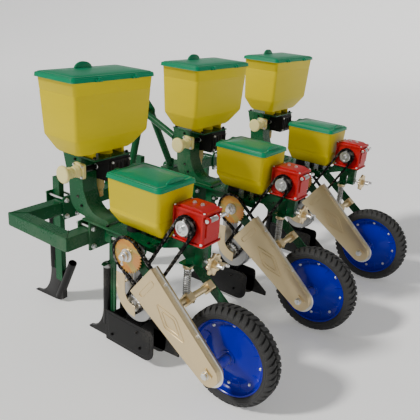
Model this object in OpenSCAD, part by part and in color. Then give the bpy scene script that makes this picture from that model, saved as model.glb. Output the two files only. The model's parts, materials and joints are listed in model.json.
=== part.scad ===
/* [Frame] */
// Distance between two neighbouring rows
row_spacing = 670; // [640:5:700]
// Overall width of the frame
frame_width = 1700; // [1660:10:1900]
// Side of the square frame tube
tube = 60; // [56:1:60]
// Wall of the square frame tube
tube_wall = 4; // [3:0.5:6]
// Nose-up angle at which the machine stands on its tines and wheels
stance = 3.1; // [2.5:0.1:3.6]

/* [Hitch] */
// Distance between the shoulders of the two lower hitch pins
hitch_spread = 683; // [660:1:700]
// Radius of the lower hitch pins
hitch_pin_r = 11; // [11:0.5:12]
// Radius of the hole for the top-link pin
top_link_r = 9.6; // [9.6:0.1:10]

/* [Press wheel] */
// Outer radius of the tyre
wheel_r = 196; // [190:1:196]
// Width of the tyre
tyre_width = 84; // [70:1:90]
// Radius at which the tyre sits on the rim
bead_r = 152; // [145:1:156]

/* [Hoppers] */
// Length of the fertiliser hopper across the row
hopper_length = 390; // [360:1:400]
// Width of the fertiliser hopper along the travel
hopper_width = 205; // [180:1:210]
// Height of the fertiliser hopper above its funnel
hopper_height = 220; // [180:1:220]
// Length of the seed box along the travel
seed_box_length = 256; // [230:1:258]
// Width of the seed box across the row
seed_box_width = 198; // [160:1:200]
// Wall of the moulded boxes
box_wall = 4; // [3:0.5:5]

/* [Drive] */
// Pitch of the roller chains
chain_pitch = 12.7; // [12.7]
// Teeth of the large sprocket on the main shaft
main_teeth = 34; // [32:1:34]
// Teeth of the wheel sprocket
wheel_teeth = 17; // [15:1:17]
// Teeth of the gearbox sprocket and of the seed meter sprocket
seed_teeth = 19; // [17:1:19]

/* [Hidden] */
$fn = 48;
ROWS = ["left", "middle", "right"];
ROW_NODES = ["fertiliser_hopper", "fertiliser_lid", "seed_box", "seed_lid", "dosing_knob",
    "main_sprocket", "gearbox_sprocket", "seed_disc", "press_arm", "chain_cover", "press_spring",
    "press_tyre", "press_rim", "depth_handwheel", "gear_lever"];
SHARED_NODES = ["front_beam", "rear_beam", "side_beams", "mast", "hitch_brackets", "hitch_pins",
    "row_frames", "gearboxes", "dosing_boxes", "outlet_cups", "fertiliser_tines", "fertiliser_tubes",
    "seed_openers", "meter_housings", "clamp_bolts"];

run = 0.05;          // radial clearance of a running fit
round_r = 12;        // corner radius of the moulded boxes

// The machine's own frame before it is stood nose-up: y = 0 is the press wheel's axle
axle = [0, wheel_r];
pivot = [406, 508];
arm_angle = atan2(pivot[1] - axle[1], pivot[0] - axle[0]);

// Frame
frame_top = 504;
frame_mid = frame_top - tube / 2;
rear_beam_y = 672;
front_beam_y = 991;
front_face_y = front_beam_y + tube;

// Row unit, across the row: the boxes and openers are centred, the wheel is a little right of it
wheel_x = 18;
cover_x = [-136, -96];
cover_wall = 3;
drive_plane = -116;
seed_plane = -56;
right_bar_x = 140;
shaft_r = 12.5;
pin_r = 3.5;
spring_top = 500;
spring_bottom = 372;
spring_y = 212;
tube_y = 203;
tube_z = 355;
meter = [430, 264];
meter_r = 85;
gear_shaft = [190, 670];
meter_shaft_r = 10;

// Stance: the machine is turned about the wheel axle and its origin is the middle of its footprint
tine_tip_y = 1276;
tine_tip_z = axle[1] + (-axle[1] - tine_tip_y * sin(stance)) / cos(stance);
nose = tine_tip_y * cos(stance) - (tine_tip_z - axle[1]) * sin(stance);
middle_y = (nose - wheel_r) / 2;

// ---------- helpers ----------
module stand() translate([0, -middle_y, axle[1]]) rotate([stance, 0, 0])
    translate([0, 0, -axle[1]]) children();
module in_row(i) stand() translate([(i - 1) * row_spacing, 0, 0]) children();
module each_row() for (i = [0:2]) translate([(i - 1) * row_spacing, 0, 0]) children();
module block(lo, hi) translate(lo) cube(hi - lo);
module rod_x(x0, x1, y, z, r) translate([x0, y, z]) rotate([0, 90, 0]) cylinder(r = r, h = x1 - x0);
module rod_y(x, y0, y1, z, r) translate([x, y0, z]) rotate([-90, 0, 0]) cylinder(r = r, h = y1 - y0);
module rod_z(x, y, z0, z1, r) translate([x, y, z0]) cylinder(r = r, h = z1 - z0);
// A tube between two points of the upright plane at x
module slant(p, q, r) {
    d = q - p;
    pitch_angle = acos(d[2] / norm(d));
    turn = atan2(d[1], d[0]);
    translate(p) rotate([0, pitch_angle, turn]) cylinder(r = r, h = norm(d));
}
// An outline in (y, z) given a thickness along x, and one in (x, z) given a thickness along y
module upright(x0, x1) translate([x0, 0, 0]) rotate([90, 0, 90]) linear_extrude(x1 - x0) children();
module across(y0, y1) translate([0, y1, 0]) rotate([90, 0, 0]) linear_extrude(y1 - y0) children();
module along_arm() translate(axle) rotate(arm_angle) children();
module link(p, q, w) {
    d = q - p;
    translate(p) rotate(atan2(d[1], d[0])) translate([0, -w / 2 + 0.5]) square([norm(d), w - 1]);
    translate(p) circle(d = w);
    translate(q) circle(d = w);
}
module rounded(w, d, r) {
    square([w, d - 2 * r], center = true);
    square([w - 2 * r, d], center = true);
    for (sx = [-1, 1], sy = [-1, 1]) translate([sx * (w / 2 - r), sy * (d / 2 - r)]) circle(r);
}
function bezier(a, b, c, d, n) = [for (i = [0:n]) let (t = i / n, s = 1 - t)
    s * s * s * a + 3 * s * s * t * b + 3 * s * t * t * c + t * t * t * d];
function pitch_r(teeth) = chain_pitch / (2 * sin(180 / teeth));
// Corners of a tooth: share of a pitch, and height over the pitch circle
tooth_corners = [[-0.30, -3.2], [-0.14, 3], [0.14, 3], [0.30, -3.2]];
function tooth_points(teeth) = [for (i = [0:teeth - 1], k = tooth_corners)
    (pitch_r(teeth) + k[1]) * [cos((i + k[0]) * 360 / teeth), sin((i + k[0]) * 360 / teeth)]];
module sprocket(x, thick, teeth, at) upright(x - thick / 2, x + thick / 2)
    translate(at) polygon(tooth_points(teeth));
module hex_x(x0, x1, at, across_flats) translate([x0, at[0], at[1]]) rotate([0, 90, 0])
    cylinder(d = across_flats / cos(30), h = x1 - x0, $fn = 6);
module hex_y(y0, y1, x, z, across_flats) translate([x, y0, z]) rotate([-90, 0, 0])
    cylinder(d = across_flats / cos(30), h = y1 - y0, $fn = 6);
// A moulded box that narrows downwards: top and bottom outlines are [centre x, centre y, width, depth, z]
module slab(s, grow) translate([s[0], s[1], s[4]]) linear_extrude(0.01)
    rounded(s[2] + 2 * grow, s[3] + 2 * grow, round_r + grow);
module draft_box(top, bottom, grow) hull() {
    slab(top, grow, $fn = 24);
    slab(bottom, grow, $fn = 24);
}

// ---------- frame ----------
module mitred_beam(length) difference() {
    translate([0, 0, -tube / 2]) linear_extrude(tube)
        polygon([[-length / 2, 0], [length / 2, 0], [length / 2 - tube, tube], [-length / 2 + tube, tube]]);
    translate([0, 0, -tube / 2 + tube_wall]) linear_extrude(tube - 2 * tube_wall)
        polygon([[-length / 2 + tube, tube_wall], [length / 2 - tube, tube_wall],
            [length / 2 - tube, tube - tube_wall], [-length / 2 + tube, tube - tube_wall]]);
}
module front_beam() color("darkgreen")
    translate([0, front_face_y, frame_mid]) rotate([0, 0, 180]) mitred_beam(frame_width);
module rear_beam() color("darkgreen")
    translate([0, rear_beam_y, frame_mid]) mitred_beam(frame_width);
module side_beams() color("darkgreen")
    for (side = [-1, 1])
        translate([side * frame_width / 2, (rear_beam_y + front_face_y) / 2, frame_mid])
            rotate([0, 0, side * 90]) mitred_beam(front_face_y - rear_beam_y);

apex = [0, 1066, 846];
mast_r = 19;
module mast() color("darkgreen") {
    for (side = [-1, 1]) {
        slant([side * 160, 1021, frame_top + 20], [side * 26, apex[1], apex[2]], mast_r);
        // foot plates on the front beam
        block([side * 160 - 45, front_beam_y, frame_top], [side * 160 + 45, front_face_y, frame_top + 8]);
        block([side * 160 - 4, front_beam_y + 6, frame_top + 8],
            [side * 160 + 4, front_face_y - 6, frame_top + 56]);
        // the two cheeks that take the top-link pin
        difference() {
            upright(side * 30 - 5, side * 30 + 5)
                link([apex[1] - 6, apex[2] - 14], [apex[1] + 26, apex[2] + 16], 56);
            rod_x(side * 30 - 6, side * 30 + 6, apex[1] + 26, apex[2] + 16, top_link_r);
        }
    }
    block([-26, apex[1] - 30, apex[2] - 34], [26, apex[1] - 2, apex[2] - 8]);
    slant([-18, apex[1] - 16, apex[2] - 20], [-45, 826, 752], 17);
    block([-56, 812, 730], [-34, 832, 772]);
}
hitch_y = 1136;
hitch_z = 462;
module hitch_brackets() color("darkgreen")
    for (side = [-1, 1])
        for (inset = [22, 72])
            difference() {
                upright(side * (hitch_spread / 2 - inset) - 5, side * (hitch_spread / 2 - inset) + 5) {
                    translate([front_face_y, frame_mid - 50]) square([30, 92]);
                    link([front_face_y + 30, hitch_z], [hitch_y, hitch_z], 60);
                }
                rod_x(side * (hitch_spread / 2 - inset) - 6, side * (hitch_spread / 2 - inset) + 6,
                    hitch_y, hitch_z, hitch_pin_r);
            }
module hitch_pins() color("silver")
    for (side = [-1, 1]) mirror([side < 0 ? 1 : 0, 0, 0]) {
        rod_x(hitch_spread / 2 - 90, hitch_spread / 2 + 60, hitch_y, hitch_z, hitch_pin_r);
        rod_x(hitch_spread / 2 - 16, hitch_spread / 2, hitch_y, hitch_z, 19);
    }

// ---------- row frame: column, channel, bearings and brackets in one weldment ----------
channel_top = 559;
channel_y = [325, 692];
column_front = [each bezier([822, 798], [806, 730], [792, 700], [791, 666], 6),
    each bezier([790, 655], [790, 600], [772, 560], [705, channel_top], 10)];
column_rear = [each bezier([560, channel_top], [560, 575], [575, 576], [600, 577], 4),
    each bezier([606, 577], [690, 582], [690, 640], [707, 667], 8), [715, 798]];
module column_outline() polygon([each column_front, each column_rear]);
module row_frame() {
    // two cheeks and the web that closes the column behind
    upright(-62, -56) column_outline();
    upright(4, 10) column_outline();
    upright(-57, 5) difference() {
        column_outline();
        translate([7, -2]) column_outline();
    }
    // hopper seat
    block([-62, 636, 798], [128, 826, 804]);
    // channel: top plate with two flanges
    block([-83, channel_y[0], 551], [66, channel_y[1], channel_top]);
    for (x = [-50, 30]) block([x, channel_y[0], 514], [x + 6, 590, 552]);
    // plate against the rear beam
    block([-70, rear_beam_y - 10, 420], [70, rear_beam_y, 552]);
    // bearings of the main shaft
    for (x = [-50, 38]) upright(x, x + 8) {
        translate([pivot[0] - 28, pivot[1]]) square([56, 551 - pivot[1]]);
        translate(pivot) circle(28);
    }
    // bracket under the gearbox
    block([-35, 128, 598], [52, 262, 606]);
    for (x = [-35, 44]) upright(x, x + 8)
        polygon([[150, 599], [262, 599], [288, 570], [340, 559], [340, 540], [300, 545]]);
    // seat of the press spring and nut of the depth screw
    block([-22, 186, spring_top], [58, 238, spring_top + 6]);
    block([14, 196, spring_top + 5], [22, 236, 575]);
    difference() {
        block([2, 150, 505], [34, 186, 551]);
        rod_y(wheel_x, 149, 187, 528, 8 + run);
    }
    block([2, 150, 550], [34, 200, 599]);
}
module row_frames() color("green") each_row() difference() {
    row_frame();
    // seed passage through the channel
    rod_z(-17, 470, 540, 570, 22);
    // passage from the hopper into the dosing box
    rod_z(48, 700, 790, 810, 24);
    rod_x(-52, 48, pivot[0], pivot[1], shaft_r + run);
    rod_x(-63, 11, dosing_axis[0], dosing_axis[1], 15);
    clamp_holes(rear_beam_y - 11, rear_beam_y + 1, row_clamp);
}

// ---------- fertiliser ----------
hopper_x = 2;
hopper_y = 692;
hopper_base = 900;
funnel_base = 838;
hopper_top = hopper_base + hopper_height;
lid_hinge = [578, hopper_top - 6];
seed_hinge = [546, 785];
rim_top = [hopper_x, hopper_y, hopper_length, hopper_width, hopper_top];
rim_base = [hopper_x, hopper_y, hopper_length - 24, hopper_width - 14, hopper_base];
funnel_low = [-16, 690, 268, 140, funnel_base];
module hopper_body(grow, up, down) {
    draft_box(rim_top + [0, 0, 0, 0, up], rim_base, grow);
    draft_box(rim_base + [0, 0, 0, 0, 0.01], funnel_low + [0, 0, 0, 0, down], grow);
}
module fertiliser_hopper() color("yellow") {
    difference() {
        hopper_body(0, 0, 0);
        hopper_body(-box_wall, 1, box_wall);
        rod_z(48, 700, funnel_base - 1, funnel_base + 6, 22);
    }
    // feet on the hopper seat
    for (x = [-50, 100]) block([x, 660, 804], [x + 16, 720, funnel_base]);
    difference() {
        rod_z(48, 700, 804, funnel_base, 28);
        rod_z(48, 700, 803, funnel_base + 1, 22);
    }
    // hinge ears and pins behind the rim
    for (x = [-90, 90]) {
        block([x - 16, lid_hinge[0], lid_hinge[1] - 6],
            [x - 4, hopper_y - hopper_width / 2 + 4, lid_hinge[1] + 4]);
        rod_x(x - 16, x - 4, lid_hinge[0], lid_hinge[1], 6);
        rod_x(x - 4, x + 14, lid_hinge[0], lid_hinge[1], pin_r);
    }
}
// A lid: a crowned plate with a skirt, knuckles behind or in front, and a half-round tab
module lid(cx, cy, w, d, z, skirt, ears, hinge) {
    difference() {
        union() {
            translate([cx, cy, z - skirt]) linear_extrude(skirt + 3) rounded(w, d, round_r + 4);
            hull() {
                translate([cx, cy, z + 3]) linear_extrude(0.01) rounded(w - 10, d - 10, round_r, $fn = 24);
                translate([cx, cy, z + 9]) linear_extrude(0.01) rounded(w - 70, d - 70, round_r, $fn = 24);
            }
        }
        translate([cx, cy, z - skirt - 1]) linear_extrude(skirt + 1) rounded(w - 5, d - 5, round_r + 1.5);
        // notches round the ears of the box
        for (x = ears) block([x - 17, hinge[0] - 20, z - skirt - 1], [x - 3, hinge[0] + 20, z]);
    }
}
module lid_tab(x, y0, y1, z) across(y0, y1) translate([x, z]) intersection() {
    circle(34);
    translate([-40, 0]) square([80, 27]);
}
module fertiliser_lid() color("seagreen") {
    lid(hopper_x - 2, hopper_y, 410, 220, hopper_top + 1, 12, [-90, 90], lid_hinge);
    lid_tab(hopper_x - 2, 764, 772, hopper_top + 6);
    for (x = [-90, 90]) difference() {
        union() {
            rod_x(x - 3, x + 14, lid_hinge[0], lid_hinge[1], 6);
            block([x - 3, lid_hinge[0], lid_hinge[1] - 2], [x + 14, 584, hopper_top + 2]);
        }
        rod_x(x - 4, x + 15, lid_hinge[0], lid_hinge[1], pin_r + run);
    }
}
dosing_axis = [717, 748];
module dosing_boxes() color("black") each_row() {
    difference() {
        union() {
            block([14, 640, 700], [128, 760, 792]);
            block([20, 660, 790], [76, 740, 798]);
            rod_z(48, 738, 690, 701, 22);
        }
        block([20, 646, 706], [122, 754, 786]);
        rod_x(13, 129, dosing_axis[0], dosing_axis[1], 12 + run);
        rod_z(48, 700, 780, 799, 22);
        rod_z(48, 738, 689, 707, 17);
    }
    // stay from the box to the channel
    slant([112, 640, 786], [60, 560, 563], 6);
}
module outlet_cups() color("wheat") each_row() difference() {
    union() {
        rod_z(48, 738, 640, 690, 22);
        rod_z(48, 738, 609, 641, 18);
    }
    rod_z(48, 738, 608, 691, 15);
}
module dosing_knob() color("beige") {
    at = dosing_axis;
    difference() {
        union() {
            upright(-76, -62.3) translate(at) rounded(60, 60, 8);
            rod_x(-142, -76, at[0], at[1], 22);
            rod_x(-156, -142, at[0], at[1], 35);
        }
        rod_x(-77, -60, at[0], at[1], 14);
    }
    rod_x(-76.5, 134, at[0], at[1], 12);
    // fluted roller inside the dosing box
    upright(24, 84) translate(at)
        polygon([for (i = [0:23]) (i % 2 == 0 ? 26 : 20) * [cos(i * 15), sin(i * 15)]]);
}

// ---------- seed box ----------
seed_x = -6.6;
seed_y = 400;
seed_top = 790;
seed_low = 648;
seed_rim = [seed_x, seed_y, seed_box_width, seed_box_length, seed_top];
seed_waist = [seed_x, seed_y, seed_box_width - 8, seed_box_length - 8, seed_low];
seed_floor = [seed_x, seed_y, 104, 232, 590];
module seed_body(grow, up, down) {
    draft_box(seed_rim + [0, 0, 0, 0, up], seed_waist, grow);
    draft_box(seed_waist + [0, 0, 0, 0, 0.01], seed_floor + [0, 0, 0, 0, down], grow);
}
module seed_box() color("yellow") {
    difference() {
        seed_body(0, 0, 0);
        seed_body(-box_wall, 1, box_wall);
        rod_z(-17, 470, 589, 596, 20);
    }
    // neck and feet on the channel
    difference() {
        rod_z(-17, 470, channel_top, 590, 28);
        rod_z(-17, 470, channel_top - 1, 591, 20);
    }
    for (y = [345, 400]) block([-14, y, channel_top], [24, y + 14, 591]);
    for (x = [-45, 45]) {
        block([x - 16, seed_y + seed_box_length / 2 - 4, seed_hinge[1] - 6],
            [x - 4, seed_hinge[0], seed_hinge[1] + 4]);
        rod_x(x - 16, x - 4, seed_hinge[0], seed_hinge[1], 6);
        rod_x(x - 4, x + 14, seed_hinge[0], seed_hinge[1], pin_r);
    }
}
module seed_lid() color("seagreen") {
    lid(seed_x, seed_y, 209, 268, seed_top + 1, 12, [-45, 45], seed_hinge);
    lid_tab(seed_x, 282, 290, seed_top + 6);
    for (x = [-45, 45]) difference() {
        union() {
            rod_x(x - 3, x + 14, seed_hinge[0], seed_hinge[1], 6);
            block([x - 3, 532, seed_hinge[1] - 2], [x + 14, seed_hinge[0], seed_top + 2]);
        }
        rod_x(x - 4, x + 15, seed_hinge[0], seed_hinge[1], pin_r + run);
    }
}

// ---------- gearbox ----------
module gearboxes() color("firebrick") each_row() {
    difference() {
        union() {
            block([-41, 122, 607], [57, 258, 722]);
            block([-44, 119, 722], [60, 261, 729]);
            upright(-36, 52) polygon([[124, 729], [256, 729], [226, 738], [154, 738]]);
            // bearing boss of the shaft
            rod_x(-48, -41, gear_shaft[0], gear_shaft[1], 24);
        }
        block([-35, 128, 613], [51, 252, 720]);
        rod_x(-49, 58, gear_shaft[0], gear_shaft[1], meter_shaft_r + run);
    }
    // filler caps
    for (y = [170, 205]) rod_z(8, y, 738, 746, 7);
    // ears that guide the gear lever
    for (x = [-38, 12]) difference() {
        block([x, 98, 700], [x + 7, 122, 722]);
        rod_x(x - 1, x + 8, 109, 711, 5 + run);
    }
}
module gearbox_sprocket() color("silver") {
    difference() {
        union() {
            sprocket(seed_plane, 6, seed_teeth, gear_shaft);
            rod_x(-78, -59, gear_shaft[0], gear_shaft[1], 28);
            rod_x(-54, -48.5, gear_shaft[0], gear_shaft[1], 18);
        }
        rod_x(-79, -72, gear_shaft[0], gear_shaft[1], 20);
    }
    rod_x(-86, 64, gear_shaft[0], gear_shaft[1], meter_shaft_r);
    rod_x(-10, 6, gear_shaft[0], gear_shaft[1], 44);
}
module gear_lever() color("silver") {
    rod_x(-46, 62, 109, 711, 5);
    rod_x(30, 62, 109, 711, 8);
}
module depth_handwheel() color("goldenrod") {
    difference() {
        across(104, 116) union() {
            translate([wheel_x, 528]) circle(36);
            for (i = [0:7]) translate([wheel_x + 34 * cos(i * 45), 528 + 34 * sin(i * 45)]) circle(10);
        }
        rod_y(wheel_x, 103, 106, 528, 20);
    }
    rod_y(wheel_x, 92, 104, 528, 12);
    rod_y(wheel_x, 70, 192, 528, 8);
    // chrome handle
    rod_y(wheel_x + 26, 62, 104, 528, 6);
}

// ---------- seed meter ----------
module meter_housings() color("dimgray") each_row() {
    difference() {
        union() {
            rod_x(-46, 18, meter[0], meter[1], meter_r);
            // duct from the seed box
            block([-42, 440, meter[1] + 60], [8, 500, 551]);
            // foot on the boot
            block([-24, 420, 150], [4, 500, meter[1] - 60]);
        }
        rod_x(-40, 12, meter[0], meter[1], meter_r - 5);
        rod_x(-47, 19, meter[0], meter[1], meter_shaft_r + run);
        block([-38, 444, meter[1] + 50], [4, 496, 552]);
        block([-20, 440, 149], [0, 490, meter[1] - 58]);
    }
    // guard plate around the front of the sprocket
    upright(-78, -74) difference() {
        union() {
            translate([400, 327]) circle(102);
            translate([455, 327]) square([47, 60]);
        }
        translate([400, 327]) circle(56);
        translate([290, 327]) square([165, 120]);
        translate([290, 200]) square([98, 130]);
    }
    block([-75, 478, 330], [-40, 490, 360]);
    block([-44, 470, 330], [-38, 490, 360]);
}
module seed_disc() color("silver") {
    rod_x(-72, 26, meter[0], meter[1], meter_shaft_r);
    sprocket(seed_plane, 6, seed_teeth, meter);
    rod_x(-54, -46.5, meter[0], meter[1], 16);
    hex_x(-68, -59, meter, 32);
    difference() {
        rod_x(-20, -10, meter[0], meter[1], meter_r - 9);
        for (i = [0:11]) rod_x(-21, -14, meter[0] + 62 * cos(i * 30), meter[1] + 62 * sin(i * 30), 6);
    }
}

// ---------- openers ----------
// A share in side view: its front sweeps from the pipe down to the tip, its back edge and sole are straight
module share(x0, x1, front, top, tip, heel, back) upright(x0, x1) polygon([each bezier([front, top],
    [front, (top + tip[1]) / 2], [front + 35, tip[1] + 14], tip, 10),
    heel, [back, heel[1] + 20], [back, top]]);
module seed_openers() color("dimgray") each_row() {
    rod_z(0, 633, 60, 349, 20);
    block([-4, 585, 100], [4, 622, 470]);
    block([-30, 585, 465], [30, 620, 551]);
    share(-14, 14, 653, 130, [744, 0], [600, 4], 585);
    // boot sides, open below and behind
    for (side = [-1, 1]) upright(side * 40 - 3, side * 40 + 3)
        polygon([[600, 160], [600, 16], [363, 16], [331, 64], [331, 150], [345, 160]]);
    block([-40, 560, 110], [40, 566, 160]);
    block([-40, 420, 144], [40, 500, 150]);
    // tail plate
    upright(37, 43) polygon([[400, 30], [400, 120], [345, 120], [262, 60], [262, 40]]);
    // wing bracket over the pipe
    block([-32, 600, 349], [32, 640, 355]);
}
tine_x = [-566, -28, 566];
tine_depth = 48;
pipe_y = front_face_y + tine_depth + 20;
tube_top = [0, 986, 183];
tube_foot = [0, 1094, -46];
tube_run = 0.05 * (tube_foot - tube_top);
module fertiliser_tines() color("dimgray") for (x = tine_x) translate([x, 0, 0]) {
    block([-14, front_face_y, 60], [14, front_face_y + tine_depth, 594]);
    rod_z(0, pipe_y, 10, 380, 21.5);
    // share, hollowed along its back for the tube welded there
    difference() {
        share(-13, 13, pipe_y + 21.5, 120, [tine_tip_y, tine_tip_z], [1112, tine_tip_z + 12], front_face_y);
        slant(tube_top, tube_foot - [0, 0, 40], 20);
    }
}
module fertiliser_tubes() color("seagreen") for (x = tine_x) translate([x, 0, 0]) difference() {
    slant(tube_top, tube_foot, 20);
    slant(tube_top - tube_run, tube_foot + tube_run, 17);
}

// ---------- press wheel and its arm ----------
module cover_side(grow, reach) along_arm() {
    circle(47.5 + grow);
    polygon([[0, -47.5 - grow], [reach, -81 - grow], [reach, 81 + grow], [0, 47.5 + grow]]);
}
module chain_cover() color("burlywood") {
    difference() {
        union() {
            upright(cover_x[0], cover_x[1]) cover_side(0, 404);
            upright(-119, -113) cover_side(9, 404);
        }
        upright(cover_x[0] + cover_wall, cover_x[1] - cover_wall) cover_side(-cover_wall, 420);
        rod_x(cover_x[0] - 1, cover_x[0] + 5, axle[0], axle[1], shaft_r);
        rod_x(cover_x[1] - 4, cover_x[1] + 1, axle[0], axle[1], 24);
    }
    // square washer plate
    difference() {
        upright(cover_x[0] - 5, cover_x[0]) translate(axle) rotate(arm_angle) square(38, center = true);
        rod_x(cover_x[0] - 6, cover_x[0] + 1, axle[0], axle[1], shaft_r);
    }
}
module press_arm() color("green") {
    // left bar beside the cover and right bar beyond the wheel, with bores on the main shaft
    difference() {
        union() {
            upright(-96, -88) link(pivot, [tube_y, tube_z], 44);
            rod_x(-96, -84, pivot[0], pivot[1], 26);
        }
        rod_x(-97, -80, pivot[0], pivot[1], shaft_r + run);
    }
    difference() {
        union() {
            upright(right_bar_x, right_bar_x + 8) link(pivot, axle, 44);
            rod_x(right_bar_x - 6, right_bar_x + 10, pivot[0], pivot[1], 26);
        }
        rod_x(right_bar_x - 7, right_bar_x + 11, pivot[0], pivot[1], shaft_r + run);
    }
    // cross tube with the spring's clamp and guide rod
    rod_x(-90, right_bar_x + 4, tube_y, tube_z, 14);
    block([-16, tube_y - 20, tube_z - 20], [16, tube_y + 20, tube_z + 17]);
    rod_z(0, spring_y, tube_z + 16, 440, 7);
    // axle, its head and the nut on the washer plate
    rod_x(cover_x[0] - 8, right_bar_x + 12, axle[0], axle[1], shaft_r);
    hex_x(cover_x[0] - 16, cover_x[0] - 5, axle, 30);
    hex_x(right_bar_x + 8, right_bar_x + 20, axle, 30);
}
module press_spring() color("silver") difference() {
    rod_z(0, spring_y, spring_bottom, spring_top, 15);
    rod_z(0, spring_y, spring_bottom - 1, spring_top + 1, 10);
}
module main_sprocket() color("goldenrod") {
    sprocket(drive_plane, 6, main_teeth, pivot);
    rod_x(-138, -98, pivot[0], pivot[1], 26);
    rod_x(-150, right_bar_x + 24, pivot[0], pivot[1], shaft_r);
}
module press_tyre() color("black") translate([wheel_x, axle[0], axle[1]]) rotate([0, 90, 0])
    rotate_extrude($fn = 96)
    difference() {
        union() {
            translate([bead_r, -tyre_width / 2 + 14]) square([24, tyre_width - 28]);
            translate([wheel_r - 22, 0]) intersection() {
                translate([-24, -tyre_width / 2]) square([46, tyre_width]);
                union() {
                    translate([0, -tyre_width / 2 + 22]) circle(22);
                    translate([0, tyre_width / 2 - 22]) circle(22);
                    translate([-22, -tyre_width / 2 + 22]) square([44, tyre_width - 44]);
                }
            }
        }
        translate([wheel_r - 5, -4]) square([6, 8]);
    }
module press_rim() color("blue") {
    translate([wheel_x, axle[0], axle[1]]) rotate([0, 90, 0]) rotate_extrude($fn = 96) {
        // rim well
        translate([bead_r - 5, -30]) square([5, 60]);
        // dished disc
        polygon([[26, -24], [60, -24], [118, 6], [bead_r - 4, -6],
            [bead_r - 4, 0], [118, 12], [58, -18], [26, -18]]);
    }
    difference() {
        rod_x(-126, wheel_x + 40, axle[0], axle[1], 20);
        rod_x(-127, wheel_x + 41, axle[0], axle[1], shaft_r + run);
    }
    difference() {
        union() {
            rod_x(wheel_x - 30, wheel_x + 40, axle[0], axle[1], 32);
            sprocket(drive_plane, 6, wheel_teeth, axle);
        }
        rod_x(-127, wheel_x + 41, axle[0], axle[1], shaft_r + run);
    }
}

// ---------- fasteners ----------
clamp_z = [frame_mid - tube / 2 - 8, frame_mid + tube / 2 + 8];
bolt_r = 6;
module clamp_holes(y0, y1, half) for (side = [-1, 1], z = clamp_z) rod_y(side * half, y0, y1, z, bolt_r);
module clamp_plate(y0, half) difference() {
    block([-half - 16, y0, frame_mid - 54], [half + 16, y0 + 8, frame_mid + 54]);
    clamp_holes(y0 - 1, y0 + 9, half);
}
// Long bolts above and below the beam, with a head behind and a nut in front
module clamp_set(y0, y1, half) for (side = [-1, 1], z = clamp_z) {
    rod_y(side * half, y0 - 14, y1 + 22, z, bolt_r);
    hex_y(y0 - 9, y0, side * half, z, 19);
    hex_y(y1, y1 + 10, side * half, z, 19);
}
row_clamp = 52;
tine_clamp = 30;
module clamp_bolts() color("silver") {
    each_row() {
        clamp_set(rear_beam_y - 10, rear_beam_y + tube + 8, row_clamp);
        clamp_plate(rear_beam_y + tube, row_clamp);
    }
    for (x = tine_x) translate([x, 0, 0]) {
        clamp_set(front_beam_y - 8, front_face_y + tine_depth + 8, tine_clamp);
        clamp_plate(front_beam_y - 8, tine_clamp);
        clamp_plate(front_face_y + tine_depth, tine_clamp);
    }
}

stand() front_beam();
stand() rear_beam();
stand() side_beams();
stand() mast();
stand() hitch_brackets();
stand() hitch_pins();
stand() row_frames();
stand() gearboxes();
stand() dosing_boxes();
stand() outlet_cups();
stand() fertiliser_tines();
stand() fertiliser_tubes();
stand() seed_openers();
stand() meter_housings();
stand() clamp_bolts();
for (i = [0:2]) {
    in_row(i) fertiliser_hopper();
    in_row(i) fertiliser_lid();
    in_row(i) seed_box();
    in_row(i) seed_lid();
    in_row(i) dosing_knob();
    in_row(i) main_sprocket();
    in_row(i) gearbox_sprocket();
    in_row(i) seed_disc();
    in_row(i) press_arm();
    in_row(i) chain_cover();
    in_row(i) press_spring();
    in_row(i) press_tyre();
    in_row(i) press_rim();
    in_row(i) depth_handwheel();
    in_row(i) gear_lever();
}
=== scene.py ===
"""Looks of a three-row corn planter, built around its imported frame.

Lengths are in millimetres of a row's own frame: x across the row, y forward from the press
wheel's axle and z up from the foot of the tyre, before the machine is stood nose-up."""
import json
import math

import bmesh
import bpy
from bpy.props import FloatProperty, FloatVectorProperty, IntProperty, PointerProperty
from mathutils import Matrix, Vector


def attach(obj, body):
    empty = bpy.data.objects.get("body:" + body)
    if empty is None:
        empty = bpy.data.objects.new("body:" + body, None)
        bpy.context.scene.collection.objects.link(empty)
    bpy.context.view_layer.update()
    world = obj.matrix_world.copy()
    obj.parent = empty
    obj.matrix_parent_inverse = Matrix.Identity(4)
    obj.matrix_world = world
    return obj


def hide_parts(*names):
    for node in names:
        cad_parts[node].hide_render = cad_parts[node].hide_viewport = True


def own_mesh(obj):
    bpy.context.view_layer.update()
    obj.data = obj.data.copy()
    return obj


bl_info = {
    "name": "Corn Planter Looks",
    "version": (1, 0, 0),
    "blender": (4, 5, 0),
    "location": "3D View > Sidebar > Planter",
    "description": "Moulded boxes, cast and plated fittings, chains, springs and tyres of a corn planter",
    "category": "Object",
}

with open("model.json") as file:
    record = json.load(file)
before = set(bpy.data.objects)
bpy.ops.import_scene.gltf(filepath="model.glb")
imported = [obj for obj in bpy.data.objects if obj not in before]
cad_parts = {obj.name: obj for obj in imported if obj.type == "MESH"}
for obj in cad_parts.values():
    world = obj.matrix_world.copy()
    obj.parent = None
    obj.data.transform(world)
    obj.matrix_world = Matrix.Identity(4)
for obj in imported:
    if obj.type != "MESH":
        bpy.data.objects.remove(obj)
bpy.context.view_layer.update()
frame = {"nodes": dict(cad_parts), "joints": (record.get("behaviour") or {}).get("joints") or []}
MM = 0.001
ROWS = ("left", "middle", "right")
JOINTS = {joint["name"]: joint for joint in frame["joints"]}
WHEEL_CENTRE = Vector(JOINTS["left_wheel_spin"]["pos_m"])
FORWARD = JOINTS["left_handwheel_turn"]["axis"]
STANCE = math.atan2(FORWARD[2], FORWARD[1])
MACHINE = (
    Matrix.Translation((0, WHEEL_CENTRE.y, WHEEL_CENTRE.z))
    @ Matrix.Rotation(STANCE, 4, "X")
    @ Matrix.Translation((0, 0, -WHEEL_CENTRE.z))
)
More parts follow.
